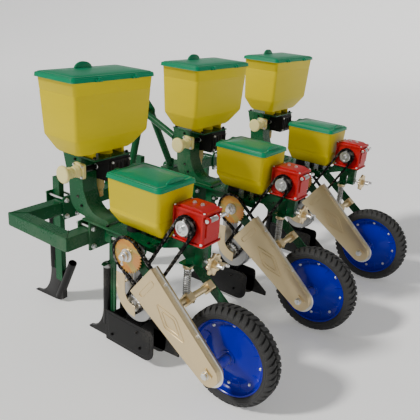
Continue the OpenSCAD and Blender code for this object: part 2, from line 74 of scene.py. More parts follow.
ROW_FRAME = {
    row: MACHINE @ Matrix.Translation((JOINTS[f"{row}_wheel_spin"]["pos_m"][0], 0, 0)) for row in ROWS
}
X, Y, Z = Vector((1, 0, 0)), Vector((0, 1, 0)), Vector((0, 0, 1))


def pin(joint):
    """The point (x, y, z) of a joint in its row's frame."""
    return ROW_FRAME["left"].inverted() @ Vector(JOINTS["left_" + joint]["pos_m"]) / MM


AXLE = pin("wheel_spin")
PIVOT = pin("main_shaft_spin")
GEAR_SHAFT = pin("gearbox_shaft_spin")
METER = pin("seed_disc_spin")
DOSING = pin("dosing_knob_turn")
HOPPER_HINGE = pin("fertiliser_lid_hinge")
SEED_HINGE = pin("seed_lid_hinge")
HANDWHEEL = pin("handwheel_turn")
ARM_ANGLE = math.atan2(PIVOT.z - AXLE.z, PIVOT.y - AXLE.y)

# Places across a row that several pieces share
WHEEL_X = HANDWHEEL.x
DRIVE_PLANE = -116
SEED_PLANE = -56
COVER_LEFT, COVER_RIGHT = -136, -96

# The press spring stands between a seat on the arm and a seat on the row frame
SPRING_Y, SPRING_FOOT, SPRING_TOP = 212, 372, 500
ARM_TUBE = (203, 355)

# Teeth of the sprockets and half the spacing of the clamp bolts
MAIN_TEETH, SEED_TEETH, WHEEL_TEETH = 34, 19, 17
ROW_CLAMP, TINE_CLAMP = 52, 30
BEAD_RADIUS = 152


# ---------- outlines and forms ----------
def arc(centre, radius, start, end, count):
    """Points round part of a circle, with its angles in degrees."""
    turns = [math.radians(start + (end - start) * i / count) for i in range(count + 1)]
    return [(centre[0] + radius * math.cos(a), centre[1] + radius * math.sin(a)) for a in turns]


def round_rectangle(centre, width, depth, radius, steps=5):
    """A rectangle with round corners."""
    points = []
    for corner, (sx, sy) in enumerate(((1, 1), (-1, 1), (-1, -1), (1, -1))):
        middle = (centre[0] + sx * (width / 2 - radius), centre[1] + sy * (depth / 2 - radius))
        points += arc(middle, radius, corner * 90, corner * 90 + 90, steps)
    return points


def curve(a, b, c, d, count=10):
    """Points of a cubic curve between a and d."""
    points = []
    for i in range(count + 1):
        t = i / count
        s = 1 - t
        weights = (s * s * s, 3 * s * s * t, 3 * s * t * t, t * t * t)
        points.append(tuple(sum(w * p[k] for w, p in zip(weights, (a, b, c, d))) for k in (0, 1)))
    return points


def link_outline(p, q, width, steps=10):
    """A bar with round ends between two points."""
    lean = math.degrees(math.atan2(q[1] - p[1], q[0] - p[0]))
    return arc(p, width / 2, lean + 90, lean + 270, steps) + arc(q, width / 2, lean - 90, lean + 90, steps)


class Form:
    """The corners and faces of one piece, in millimetres of its row."""

    def __init__(self):
        self.corners = []
        self.faces = []

    def skin(self, rings, caps=True, joined=False):
        """Covers a run of rings that have the same number of points."""
        start, count = len(self.corners), len(rings[0])
        for ring in rings:
            self.corners += [Vector(p) for p in ring]
        for r in range(len(rings) if joined else len(rings) - 1):
            a, b = start + r * count, start + (r + 1) % len(rings) * count
            self.faces += [(a + i, a + (i + 1) % count, b + (i + 1) % count, b + i) for i in range(count)]
        if caps and not joined:
            last = start + (len(rings) - 1) * count
            self.faces += [tuple(range(start, start + count)), tuple(range(last, last + count))]
        return self

    def upright(self, outline, x0, x1):
        """An outline in (y, z) given a thickness along x."""
        return self.skin([[(x, y, z) for y, z in outline] for x in (x0, x1)])

    def across(self, outline, y0, y1):
        """An outline in (x, z) given a thickness along y."""
        return self.skin([[(x, y, z) for x, z in outline] for y in (y0, y1)])

    def level(self, outline, z0, z1):
        """An outline in (x, y) given a thickness along z."""
        return self.skin([[(x, y, z) for x, y in outline] for z in (z0, z1)])

    def block(self, low, high):
        """A bar with square edges between two opposite corners."""
        (x0, y0, z0), (x1, y1, z1) = low, high
        return self.level([(x0, y0), (x1, y0), (x1, y1), (x0, y1)], z0, z1)

    def turned(self, at, axis, profile, count=32, joined=False):
        """A profile of (distance along the axis, radius) turned about an axis through a point."""
        axis = Vector(axis).normalized()
        side = axis.orthogonal().normalized()
        other = axis.cross(side)
        spokes = [side * math.cos(a) + other * math.sin(a) for a in
                  (2 * math.pi * i / count for i in range(count))]
        rings = [[Vector(at) + axis * d + spoke * r for spoke in spokes] for d, r in profile]
        return self.skin(rings, joined=joined)

    def rod(self, start, end, radius, count=24):
        """A round bar with a small chamfer at both ends."""
        start, end = Vector(start), Vector(end)
        length, lip = (end - start).length, min(1.2, radius * 0.2)
        profile = [(0, radius - lip), (lip, radius), (length - lip, radius), (length, radius - lip)]
        return self.turned(start, end - start, profile, count)

    def tube(self, path, radius, count=10, joined=False):
        """A round bar that follows a path; the radius may be one number or one for each point."""
        path = [Vector(p) for p in path]
        radii = radius if isinstance(radius, list) else [radius] * len(path)
        rings, side = [], None
        for i, point in enumerate(path):
            after = path[(i + 1) % len(path)] if joined or i + 1 < len(path) else point
            before = path[i - 1] if joined or i else point
            ahead = (after - before).normalized()
            side = ahead.orthogonal() if side is None else side - ahead * side.dot(ahead)
            side.normalize()
            other = ahead.cross(side)
            turns = [2 * math.pi * k / count for k in range(count)]
            rings.append([point + (side * math.cos(a) + other * math.sin(a)) * radii[i] for a in turns])
        return self.skin(rings, joined=joined)

    def coil(self, at, axis, length, radius, wire, turns, steps=18):
        """A compression spring whose end turns lie flat."""
        axis = Vector(axis).normalized()
        side = axis.orthogonal().normalized()
        other = axis.cross(side)
        path, count = [], int(turns * steps)
        for i in range(count + 1):
            turn = i / steps
            share = min(max((turn - 0.8) / (turns - 1.6), 0), 1)
            rise = wire + share * (length - 2 * wire)
            a = 2 * math.pi * turn
            path.append(Vector(at) + axis * rise + (side * math.cos(a) + other * math.sin(a)) * radius)
        return self.tube(path, wire, 8)

    def bolt(self, at, axis, flats=17, height=8, washer=True):
        """A hexagon head with a crowned top on its washer, standing on a surface at a point."""
        corner, base = flats / math.sqrt(3), 2 if washer else 0
        if washer:
            self.turned(at, axis, [(0, flats * 0.62), (1.4, flats * 0.62), (2, flats * 0.58)], 24)
        profile = [(base, corner), (base + height * 0.8, corner), (base + height, corner * 0.82)]
        self.turned(at, axis, profile, 6)
        rim = base + height
        return self.turned(at, axis, [(rim - 0.1, corner * 0.5), (rim + 0.7, corner * 0.42)], 16)

    def weld(self, start, end, radius=3.2):
        """A bead of weld: a bar whose radius rises and falls with each drop."""
        start, end = Vector(start), Vector(end)
        count = max(int((end - start).length / 2.2), 4)
        path = [start.lerp(end, i / count) for i in range(count + 1)]
        return self.tube(path, [radius * (0.86 + 0.14 * math.sin(i * 2.1)) for i in range(count + 1)], 8)

    def mesh(self, name):
        """The form as a mesh, in metres, with its faces turned outwards."""
        made = bpy.data.meshes.new(name)
        made.from_pydata([p * MM for p in self.corners], [], self.faces)
        shaping = bmesh.new()
        shaping.from_mesh(made)
        bmesh.ops.recalc_face_normals(shaping, faces=shaping.faces)
        shaping.to_mesh(made)
        shaping.free()
        made.shade_smooth()
        return made


# ---------- placing ----------
def round_edges(piece, width, segments=2):
    """Rounds the edges of a piece and keeps its flat faces flat in the shading."""
    bevel = piece.modifiers.new("edges", "BEVEL")
    bevel.width = width * MM
    bevel.segments = segments
    bevel.limit_method = "ANGLE"
    bevel.angle_limit = math.radians(35)
    piece.modifiers.new("shading", "WEIGHTED_NORMAL").weight = 60


def add_piece(name, mesh, place, finish, body, replaces=(), edge=0.0):
    """Puts a mesh in the scene as a piece that rides on a body."""
    piece = bpy.data.objects.new(name, mesh)
    bpy.context.scene.collection.objects.link(piece)
    piece.matrix_world = place
    if not mesh.materials:
        mesh.materials.append(finish_named(finish))
    if edge:
        round_edges(piece, edge)
    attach(piece, body)
    if replaces:
        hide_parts(*replaces)
    return piece


def add_to_rows(name, form, finish, body="root", replaces=(), edge=0.0):
    """Puts the same piece in each row. A body or node that belongs to the row is given without its side."""
    mesh = form.mesh(name)
    if not edge:
        mesh.set_sharp_from_angle(angle=math.radians(38))
    made = []
    for row in ROWS:
        nodes = [n if n in frame["nodes"] else f"{row}_{n}" for n in replaces]
        rides_on = body if body == "root" else f"{row}_{body}"
        made.append(add_piece(f"{row}_{name}", mesh, ROW_FRAME[row], finish, rides_on, nodes, edge))
    return made


def dress(node, finish, edge=1.2):
    """Gives a carried-over node its finish and rounds its edges."""
    piece = frame["nodes"][node]
    normals = piece.data.attributes.get("custom_normal")
    if normals:
        piece.data.attributes.remove(normals)
    piece.data.shade_smooth()
    piece.data.materials.clear()
    piece.data.materials.append(finish_named(finish))
    piece.modifiers.new("joined", "WELD").merge_threshold = 0.02 * MM
    faces = piece.modifiers.new("whole faces", "DECIMATE")
    faces.decimate_type = "DISSOLVE"
    faces.angle_limit = math.radians(0.5)
    round_edges(piece, edge)


# ---------- finishes ----------
class Wire:
    """A node's output that takes part in Python arithmetic; each operator adds a Math node."""

    def __init__(self, finish, socket):
        self.finish = finish
        self.socket = socket

    def maths(self, operation, *terms):
        return self.finish.node("Math", {"operation": operation}, dict(enumerate(terms)))

    def __add__(self, other):
        return self.maths("ADD", self, other)

    def __radd__(self, other):
        return self.maths("ADD", other, self)

    def __sub__(self, other):
        return self.maths("SUBTRACT", self, other)

    def __rsub__(self, other):
        return self.maths("SUBTRACT", other, self)

    def __mul__(self, other):
        return self.maths("MULTIPLY", self, other)

    def __rmul__(self, other):
        return self.maths("MULTIPLY", other, self)


class Finish:
    """A material whose nodes are added one by one around its Principled shader."""

    def __init__(self, name, **constants):
        self.material = bpy.data.materials.new(name)
        self.material.use_nodes = True
        tree = self.material.node_tree
        self.nodes, self.links = tree.nodes, tree.links
        self.shader = self.nodes["Principled BSDF"]
        self.where = self.node("TexCoord", output="Object")
        self.set(**constants)

    def node(self, kind, settings=None, values=None, output=0):
        """Adds a node: first its settings, then the values or links of its sockets."""
        made = self.nodes.new("ShaderNode" + kind)
        for key, value in (settings or {}).items():
            if key == "stops":
                while len(made.color_ramp.elements) < len(value):
                    made.color_ramp.elements.new(1.0)
                for element, (position, colour) in zip(made.color_ramp.elements, value):
                    element.position = position
                    element.color = (*colour, 1)
            else:
                setattr(made, key, value)
        for key, value in (values or {}).items():
            self.feed(made.inputs[key], value)
        return Wire(self, made.outputs[output])

    def feed(self, socket, value):
        if isinstance(value, Wire):
            self.links.new(value.socket, socket)
        elif socket.type == "RGBA":
            socket.default_value = (*value, 1)
        else:
            socket.default_value = value

    def set(self, **values):
        """Sets or links sockets of the shader; an underscore in a name stands for a space."""
        for key, value in values.items():
            self.feed(self.shader.inputs[key.replace("_", " ")], value)
        return self

    def noise(self, scale, detail=3.0, distortion=0.0, vector=None):
        values = {"Vector": vector or self.where, "Scale": scale, "Detail": detail, "Distortion": distortion}
        return self.node("TexNoise", None, values)

    def stretched(self, x, y, z):
        """The object's own coordinates, stretched along its axes."""
        return self.node("Mapping", None, {"Vector": self.where, "Scale": (x, y, z)})

    def step(self, wire, low, high):
        """A mask that rises smoothly from 0 to 1 between two values."""
        values = {"Value": wire, "From Min": low, "From Max": high}
        return self.node("MapRange", {"interpolation_type": "SMOOTHSTEP"}, values)

    def mix(self, share, a, b):
        return self.node("Mix", {"data_type": "RGBA"}, {0: share, 6: a, 7: b}, output=2)

    def bump(self, height, strength, distance=0.5):
        """Raises the surface by a height; the distance is in millimetres."""
        values = {"Height": height, "Strength": strength, "Distance": distance * MM}
        return self.set(Normal=self.node("Bump", None, values))


DUST = (0.36, 0.33, 0.28)
OIL = (0.006, 0.006, 0.006)


def shade(colour, share):
    return tuple(channel * share for channel in colour)


def enamel(name, colour, roughness=0.26, dust=0.14):
    """Sprayed enamel: orange peel, uneven depth of colour and a breath of dust in patches."""
    made = Finish(name, Coat_Weight=0.08, Coat_Roughness=0.15, Specular_IOR_Level=0.2)
    cloud = made.noise(5, 4)
    fleck = made.noise(120, 2)
    patch = made.step(cloud * 0.75 + fleck * 0.25, 0.5, 0.72)
    tone = made.mix(cloud, shade(colour, 0.78), shade(colour, 1.2))
    made.set(Base_Color=made.mix(patch * dust, tone, DUST), Roughness=roughness + patch * 0.22)
    return made.bump(made.noise(420, 2) + made.noise(60, 2) * 1.5, 0.22, 0.35)


def moulding(name, colour, roughness=0.34, grain=0.16, glow=0.0):
    """Moulded plastic: a fine grain, long flow marks and slight scuffs."""
    made = Finish(name, Subsurface_Weight=glow, Subsurface_Scale=0.01, Specular_IOR_Level=0.16)
    cloud = made.noise(7, 3)
    flow = made.noise(4, 2, 0.6, made.stretched(1, 1, 6))
    scuff = made.step(made.noise(38, 6, 1.5), 0.62, 0.74)
    tone = made.mix(flow, shade(colour, 0.93), shade(colour, 1.04))
    made.set(Base_Color=made.mix(scuff * 0.08, tone, DUST), Roughness=roughness + scuff * 0.18 + cloud * 0.08)
    return made.bump(made.noise(900, 1) + flow * 3, grain, 0.3)


def plating(name, stops, roughness=0.28, scale=6.0, metal=1.0):
    """Zinc plating: interference colours that drift over the metal, and its rolled grain."""
    made = Finish(name, Metallic=metal)
    drift = made.noise(scale, 2, 1.4) * 0.8 + made.noise(scale * 4, 3) * 0.2
    grain = made.noise(60, 4, 0, made.stretched(1, 1, 14))
    tint = made.node("ValToRGB", {"stops": stops}, {"Fac": drift}, "Color")
    stain = made.step(made.noise(26, 5), 0.6, 0.8)
    made.set(Base_Color=made.mix(stain * 0.3, tint, shade(DUST, 0.7)), Roughness=roughness + grain * 0.14)
    return made.bump(grain + made.noise(300, 2) * 0.5, 0.12, 0.3)


def casting(name, colour, roughness=0.5):
    """Sand-cast metal with a coarse skin."""
    made = Finish(name, Metallic=0.7)
    pits = made.node("TexVoronoi", None, {"Vector": made.where, "Scale": 420.0}, "Distance")
    cloud = made.noise(12, 5)
    tone = made.mix(cloud, shade(colour, 0.7), shade(colour, 1.25))
    made.set(Base_Color=tone, Roughness=roughness + cloud * 0.2)
    return made.bump(pits + made.noise(180, 4), 0.35, 0.6)


def rubber():
    """Tyre rubber: soft grey bloom and dust, with a fine moulded grain."""
    made = Finish("tyre_rubber")
    cloud = made.noise(16, 5)
    patch = made.step(cloud, 0.4, 0.7)
    tone = made.mix(made.noise(90, 3), (0.004, 0.004, 0.0045), (0.012, 0.0115, 0.011))
    made.set(Base_Color=made.mix(patch * 0.1, tone, shade(DUST, 0.5)), Roughness=0.55 + patch * 0.25)
    return made.bump(made.noise(700, 2) + cloud * 2, 0.3, 0.4)


def oiled_steel():
    """Blackened chain steel with oil in its hollows and bare metal where it rubs."""
    made = Finish("oiled_steel", Metallic=0.85)
    rubbed = made.step(made.noise(70, 4), 0.5, 0.66)
    made.set(Base_Color=made.mix(rubbed, OIL, (0.16, 0.15, 0.14)), Roughness=0.5 - rubbed * 0.18)
    return made.bump(made.noise(400, 3), 0.25, 0.3)


def floor_paper():
    """The pale floor of the stage."""
    made = Finish("floor_paper", Roughness=0.9, Emission_Color=(1, 1, 1), Emission_Strength=0.18)
    return made.set(Base_Color=made.mix(made.noise(3, 3), (0.9, 0.9, 0.9), (0.94, 0.94, 0.94)))


SILVER_STOPS = [(0.25, (0.62, 0.64, 0.66)), (0.5, (0.8, 0.8, 0.78)), (0.75, (0.6, 0.62, 0.68))]
GOLD_STOPS = [(0.41, (0.36, 0.15, 0.11)), (0.455, (0.36, 0.24, 0.06)), (0.485, (0.14, 0.2, 0.09)),
              (0.52, (0.2, 0.2, 0.18)), (0.555, (0.34, 0.23, 0.06)), (0.6, (0.36, 0.13, 0.14))]
AMBER_STOPS = [(0.38, (0.6, 0.24, 0.06)), (0.46, (0.64, 0.36, 0.08)), (0.54, (0.46, 0.36, 0.12)),
               (0.62, (0.6, 0.28, 0.1))]


def make_finish(name):
    """Builds one finish, in the colours that the panel holds."""
    colours = bpy.context.scene.planter_colours
    recipes = {
        "green_enamel": lambda: enamel(name, colours.frame),
        "black_enamel": lambda: enamel(name, colours.opener, 0.38, 0.1),
        "red_enamel": lambda: enamel(name, colours.gearbox, 0.3, 0.06),
        "blue_enamel": lambda: enamel(name, colours.rim, 0.22, 0.04),
        "yellow_moulding": lambda: moulding(name, colours.box, 0.36, 0.14),
        "lid_moulding": lambda: moulding(name, colours.lid, 0.3, 0.3),
        "cream_nylon": lambda: moulding(name, colours.knob, 0.42, 0.3, 0.15),
        "cloudy_amber": lambda: moulding(name, (0.62, 0.5, 0.22), 0.35, 0.3, 0.3),
        "black_moulding": lambda: moulding(name, (0.014, 0.014, 0.015), 0.42, 0.4),
        "gold_zinc": lambda: plating(name, GOLD_STOPS, 0.3, 6.0, 0.9),
        "amber_zinc": lambda: plating(name, AMBER_STOPS, 0.3, 7.0, 0.8),
        "bright_zinc": lambda: plating(name, SILVER_STOPS, 0.24, 14.0),
        "spring_steel": lambda: plating(name, [(p, shade(c, 0.62)) for p, c in SILVER_STOPS], 0.36, 30.0),
        "grey_casting": lambda: casting(name, (0.3, 0.3, 0.29)),
        "oiled_steel": oiled_steel,
        "tyre_rubber": rubber,
        "floor_paper": floor_paper,
    }
    return recipes[name]().material


def finish_named(name):
    return bpy.data.materials.get(name) or make_finish(name)


# ---------- sizes and colours ----------
def colour_property(name, description, default):
    return FloatVectorProperty(name=name, description=description, default=default, subtype="COLOR",
                               min=0, max=1)


class PlanterColours(bpy.types.PropertyGroup):
    """Colours of the planter's finishes."""

    frame: colour_property("Frame", "Enamel of the frame and row units", (0.0005, 0.075, 0.022))
    opener: colour_property("Opener", "Enamel of the opener and its boot", (0.005, 0.005, 0.0055))
    gearbox: colour_property("Gearbox", "Enamel of the gearbox", (0.42, 0.002, 0.004))
    rim: colour_property("Rim", "Enamel of the press wheel's rim", (0.001, 0.002, 0.34))
    box: colour_property("Boxes", "Moulded hoppers and seed boxes", (0.62, 0.49, 0.0))
    lid: colour_property("Lids", "Moulded lids", (0.001, 0.22, 0.1))
    knob: colour_property("Knobs", "Moulded dosing knobs", (0.8, 0.72, 0.32))


class PlanterBoxes(bpy.types.PropertyGroup):
    """Sizes of the moulded boxes and lids, in millimetres."""

    wall: FloatProperty(name="Wall", description="Wall of the moulded boxes", default=4, min=2, max=6)
    corner: FloatProperty(name="Corner", description="Corner radius of the boxes", default=13, min=8, max=20)
    seam: FloatProperty(name="Seam", description="Depth of the moulding seam", default=1.1, min=0, max=3)
    lip: FloatProperty(name="Lip", description="How far the rolled rim stands out", default=3, min=0, max=4)


class PlanterTyre(bpy.types.PropertyGroup):
    """Sizes of the press wheel's tyre and rim."""

    lugs: IntProperty(name="Lugs", description="Lugs on each side of the tread", default=44, min=24, max=60)
    lug_height: FloatProperty(name="Lug height", description="Height of a lug, in mm", default=8,
                              min=3, max=12)
    slant: FloatProperty(name="Slant", description="Turn of a lug between its two ends, in degrees",
                         default=5.5, min=0, max=12)
    bolts: IntProperty(name="Rim bolts", description="Bolts round the rim", default=8, min=4, max=12)


class PlanterChains(bpy.types.PropertyGroup):
    """Sizes of the roller chains, in millimetres."""

    pitch: FloatProperty(name="Pitch", description="Distance between rollers", default=12.7, min=9, max=16)
    roller: FloatProperty(name="Roller", description="Radius of a roller", default=3.9, min=2, max=5)
    plate: FloatProperty(name="Plate", description="Height of a link plate", default=10.5, min=6, max=12)


class PlanterStage(bpy.types.PropertyGroup):
    """The camera and the lights."""

    eye: FloatVectorProperty(name="Eye", description="Place of the camera",
                             default=(-2.0757, -1.4836, 1.3691), subtype="TRANSLATION", unit="LENGTH")
    heading: FloatProperty(name="Heading", description="Direction of view, turned from forward to the right",
                           default=math.radians(53.514), subtype="ANGLE", unit="ROTATION")
    dip: FloatProperty(name="Dip", description="How far the view looks down", default=math.radians(19.751),
                       subtype="ANGLE", unit="ROTATION")
    roll: FloatProperty(name="Roll", description="Turn of the camera about its view",
                        default=math.radians(1.501), subtype="ANGLE", unit="ROTATION")
    lens: FloatProperty(name="Lens", description="Focal length in millimetres", default=46.68,
                        min=20, max=120)
    sun: FloatProperty(name="Sun", description="Strength of the main light", default=3.0, min=0, max=10)
    sky: FloatProperty(name="Sky", description="Strength of the light from all round", default=0.32,
                       min=0, max=2)


class PlanterOperator(bpy.types.Operator):
    """Common options of the operators that build the planter."""

    bl_options = {"REGISTER", "UNDO"}


# ---------- stage ----------
class BuildStage(PlanterOperator):
    """Adds the pale floor, the soft lights and the camera"""

    bl_idname = "planter.build_stage"
    bl_label = "Stage"

    def execute(self, context):
        stage = context.scene.planter_stage
        paper = curve((9000, -0.2), (11000, -0.2), (12500, 300), (13000, 3200), 16)
        sides = 120
        rings = [[(x, y, z) for x, y in arc((0, 0), reach, 0, 360 - 360 / sides, sides - 1)]
                 for reach, z in [(0.1, -0.2)] + paper]
        mesh = Form().skin(rings, caps=False).mesh("floor")
        mesh.materials.append(finish_named("floor_paper"))
        ground = bpy.data.objects.new("floor", mesh)
        context.scene.collection.objects.link(ground)
        self.add_sun("main_light", (0.66, -0.38, -0.66), stage.sun, 7, (1.0, 0.98, 0.94))
        self.add_sun("fill_light", (0.55, 0.75, -0.4), stage.sun * 0.05, 60, (0.95, 0.97, 1.0))
        world = context.scene.world or bpy.data.worlds.new("studio")
        context.scene.world = world
        world.use_nodes = True
        sky = world.node_tree.nodes["Background"]
        sky.inputs["Color"].default_value = (1, 1, 1, 1)
        sky.inputs["Strength"].default_value = stage.sky
        context.scene.camera = self.add_camera(context, stage)
        return {"FINISHED"}

    def add_sun(self, name, direction, strength, spread, colour):
        lamp = bpy.data.lights.new(name, "SUN")
        lamp.energy = strength
        lamp.angle = math.radians(spread)
        lamp.color = colour
        light = bpy.data.objects.new(name, lamp)
        bpy.context.scene.collection.objects.link(light)
        light.rotation_euler = Vector(direction).to_track_quat("-Z", "Y").to_euler()

    def add_camera(self, context, stage):
        lens = bpy.data.cameras.new("camera")
        lens.lens = stage.lens
        camera = bpy.data.objects.new("camera", lens)
        context.scene.collection.objects.link(camera)
        level = math.cos(stage.dip)
        ahead = Vector((math.sin(stage.heading) * level, math.cos(stage.heading) * level,
                        -math.sin(stage.dip)))
        right = Vector((math.cos(stage.heading), -math.sin(stage.heading), 0))
        up = right.cross(ahead)
        rolled = right * math.cos(stage.roll) + up * math.sin(stage.roll)
        axes = Matrix((rolled, rolled.cross(ahead), -ahead)).transposed()
        camera.matrix_world = Matrix.Translation(stage.eye) @ axes.to_4x4()
        return camera


# ---------- frame ----------
FRAME_HALF = 850
FRAME_TOP = 504
TUBE = 60
REAR_BEAM, FRONT_FACE = 672, 1051
CHANNEL_TOP = 559
TINE_X = (-566, -28, 566)
TINE_DEPTH = 48
TIP_Y = 1276
ROW_X = [JOINTS[f"{row}_wheel_spin"]["pos_m"][0] / MM for row in ROWS]


class BuildFrame(PlanterOperator):
    """Finishes the beams, mast and hitch and adds their welds"""

    bl_idname = "planter.build_frame"
    bl_label = "Frame and hitch"

    def execute(self, context):
        for node in ("front_beam", "rear_beam", "side_beams"):
            dress(node, "green_enamel", 4.0)
        dress("mast", "green_enamel", 1.5)
        dress("hitch_brackets", "green_enamel", 1.5)
        dress("hitch_pins", "bright_zinc", 1.5)
        welds = Form()
        for side in (-1, 1):
            for outer, inner in ((REAR_BEAM, REAR_BEAM + TUBE), (FRONT_FACE, FRONT_FACE - TUBE)):
                corner = Vector((side * FRAME_HALF, outer, FRAME_TOP))
                mitre = Vector((side * (FRAME_HALF - TUBE), inner, FRAME_TOP))
                down = Vector((0, 0, TUBE - 6))
                inset = (mitre - corner).normalized() * 3
                welds.weld(corner + inset, mitre, 2.2)
                welds.weld(corner + inset - down * 0.05, corner + inset - down, 2.6)
                welds.weld(mitre - down * 0.05, mitre - down, 2.6)
            foot = side * 160
            for y in (FRONT_FACE - TUBE, FRONT_FACE):
                welds.weld((foot - 42, y, FRAME_TOP + 2), (foot + 42, y, FRAME_TOP + 2), 2.6)
            welds.weld((foot - 4, FRONT_FACE - TUBE + 8, FRAME_TOP + 9),
                       (foot - 4, FRONT_FACE - 8, FRAME_TOP + 9), 2.4)
        mesh = welds.mesh("frame_welds")
        add_piece("frame_welds", mesh, MACHINE, "green_enamel", "root")
        self.build_clamps()
        return {"FINISHED"}

    def build_clamps(self):
        """The plates and long bolts that hold the rows and the tines on the two beams."""
        sets = [(x, ROW_CLAMP, REAR_BEAM - 10, REAR_BEAM + TUBE + 8, (REAR_BEAM + TUBE,)) for x in ROW_X]
        ends = FRONT_FACE - TUBE - 8, FRONT_FACE + TINE_DEPTH
        sets += [(x, TINE_CLAMP, ends[0], ends[1] + 8, ends) for x in TINE_X]
        plates, bolts = Form(), Form()
        for x, half, back, front, faces in sets:
            for y in faces:
                plates.across(round_rectangle((x, FRAME_TOP - TUBE / 2), 2 * half + 32, 108, 7), y, y + 8)
            for side in (-1, 1):
                for z in (FRAME_TOP - TUBE - 8, FRAME_TOP + 8):
                    at = x + side * half
                    bolts.rod((at, back - 4, z), (at, front + 22, z), 5.9, 16)
                    bolts.bolt((at, back, z), -Y, 18, 9)
                    bolts.bolt((at, front, z), Y, 18, 10)
        mesh = bolts.mesh("clamp_bolts_and_nuts")
        mesh.set_sharp_from_angle(angle=math.radians(38))
        add_piece("clamp_bolts_and_nuts", mesh, MACHINE, "bright_zinc", "root",
                  ["clamp_bolts"])
        add_piece("clamp_plates", plates.mesh("clamp_plates"), MACHINE, "green_enamel", "root",
                  edge=1.2)


class BuildRowFrames(PlanterOperator):
    """Finishes the columns and channels and adds their bolts, bearings and welds"""

    bl_idname = "planter.build_row_frames"
    bl_label = "Row frames"

    def execute(self, context):
        dress("row_frames", "green_enamel", 1.3)
        bolts = Form()
        for x, y in ((-70, 345), (-70, 560)):
            bolts.bolt((x, y, CHANNEL_TOP), Z, 10, 5)
        for y, z in ((750, 786), (738, 634), (716, 600)):
            bolts.bolt((-62, y, z), -X, 9, 4)
        for x, y in ((-52, 650), (-52, 812), (118, 650), (118, 812)):
            bolts.bolt((x, y, 804), Z, 12, 6)
        add_to_rows("frame_bolts", bolts, "oiled_steel")
        bearings = Form()
        for x in (-50, 46):
            side = -1 if x < 0 else 1
            bearings.turned((x, PIVOT.y, PIVOT.z), X * side,
                            [(0, 26), (5, 26), (7, 24), (7, 17), (9, 16), (9, 14.5), (2, 14.5)], 32)
            for turn in range(4):
                a = math.radians(45 + 90 * turn)
                at = (x + side * 6, PIVOT.y + 20.5 * math.cos(a), PIVOT.z + 20.5 * math.sin(a))
                bearings.bolt(at, X * side, 6, 3, False)
        add_to_rows("shaft_bearings", bearings, "grey_casting")
        welds = Form()
        welds.weld((-62, 575, CHANNEL_TOP), (-62, 700, CHANNEL_TOP), 2.6)
        welds.weld((10, 575, CHANNEL_TOP), (10, 690, CHANNEL_TOP), 2.6)
        welds.weld((-62, 700, CHANNEL_TOP), (10, 706, CHANNEL_TOP), 2.6)
        welds.weld((-62, 755, 797), (-62, 820, 797), 2.6)
        welds.weld((10, 755, 797), (10, 820, 797), 2.6)
        for x in (-35, 44):
            welds.weld((x, 170, 598), (x, 258, 598), 2.2)
        add_to_rows("frame_seams", welds, "green_enamel")
        return {"FINISHED"}


# ---------- moulded boxes ----------
FERTILISER_TOP = 1120
SEED_TOP = 790


def box_rings(sections, grow):
    """Rings of a moulded box, from sections of (centre x, centre y, width, depth, corner, z)."""
    return [
        [(x, y, z) for x, y in round_rectangle((cx, cy), w + 2 * grow, d + 2 * grow, r + grow)]
        for cx, cy, w, d, r, z in sections
    ]


def tapered(top, base, z, grow=0.0):
    """The section of a drafted wall at a height between its top and base sections."""
    share = (top[5] - z) / (top[5] - base[5])
    section = [a + (b - a) * share for a, b in zip(top, base)]
    return (section[0], section[1], section[2] + 2 * grow, section[3] + 2 * grow, section[4] + grow, z)


def box_shell(rim, waist, floor, boxes, seam_z):
    """An open moulded box: rolled rim, drafted walls with a seam, a soft shoulder and a funnel."""
    top, lip = rim[5], boxes.lip
    outer = [tapered(rim, waist, top - 0.5, lip - 1), tapered(rim, waist, top - 2, lip),
             tapered(rim, waist, top - 11, lip), tapered(rim, waist, top - 14, 0.6)]
    for offset, depth in ((3, 0), (1, boxes.seam), (-1, boxes.seam), (-3, 0)):
        outer.append(tapered(rim, waist, seam_z + offset, -depth))
    steps = 5
    bend = [tapered(rim, waist, waist[5] + 5), waist, tapered(waist, floor, waist[5] - 6)]
    outer.append(bend[0])
    for i in range(1, steps + 1):
        t = i / steps
        weights = ((1 - t) ** 2, 2 * t * (1 - t), t * t)
        outer.append(tuple(sum(w * s[k] for w, s in zip(weights, bend)) for k in range(6)))
    outer.append(tapered(waist, floor, floor[5] + 8))
    outer.append((*floor[:2], floor[2] - 6, floor[3] - 6, *floor[4:]))
    inner = [tapered(rim, waist, top - 0.5, 1), (*rim[:5], top), waist, floor]
    walls = box_rings(inner, -boxes.wall)
    walls[-1] = [(x, y, z + boxes.wall) for x, y, z in walls[-1]]
    return Form().skin(box_rings(reversed(outer), 0) + walls)


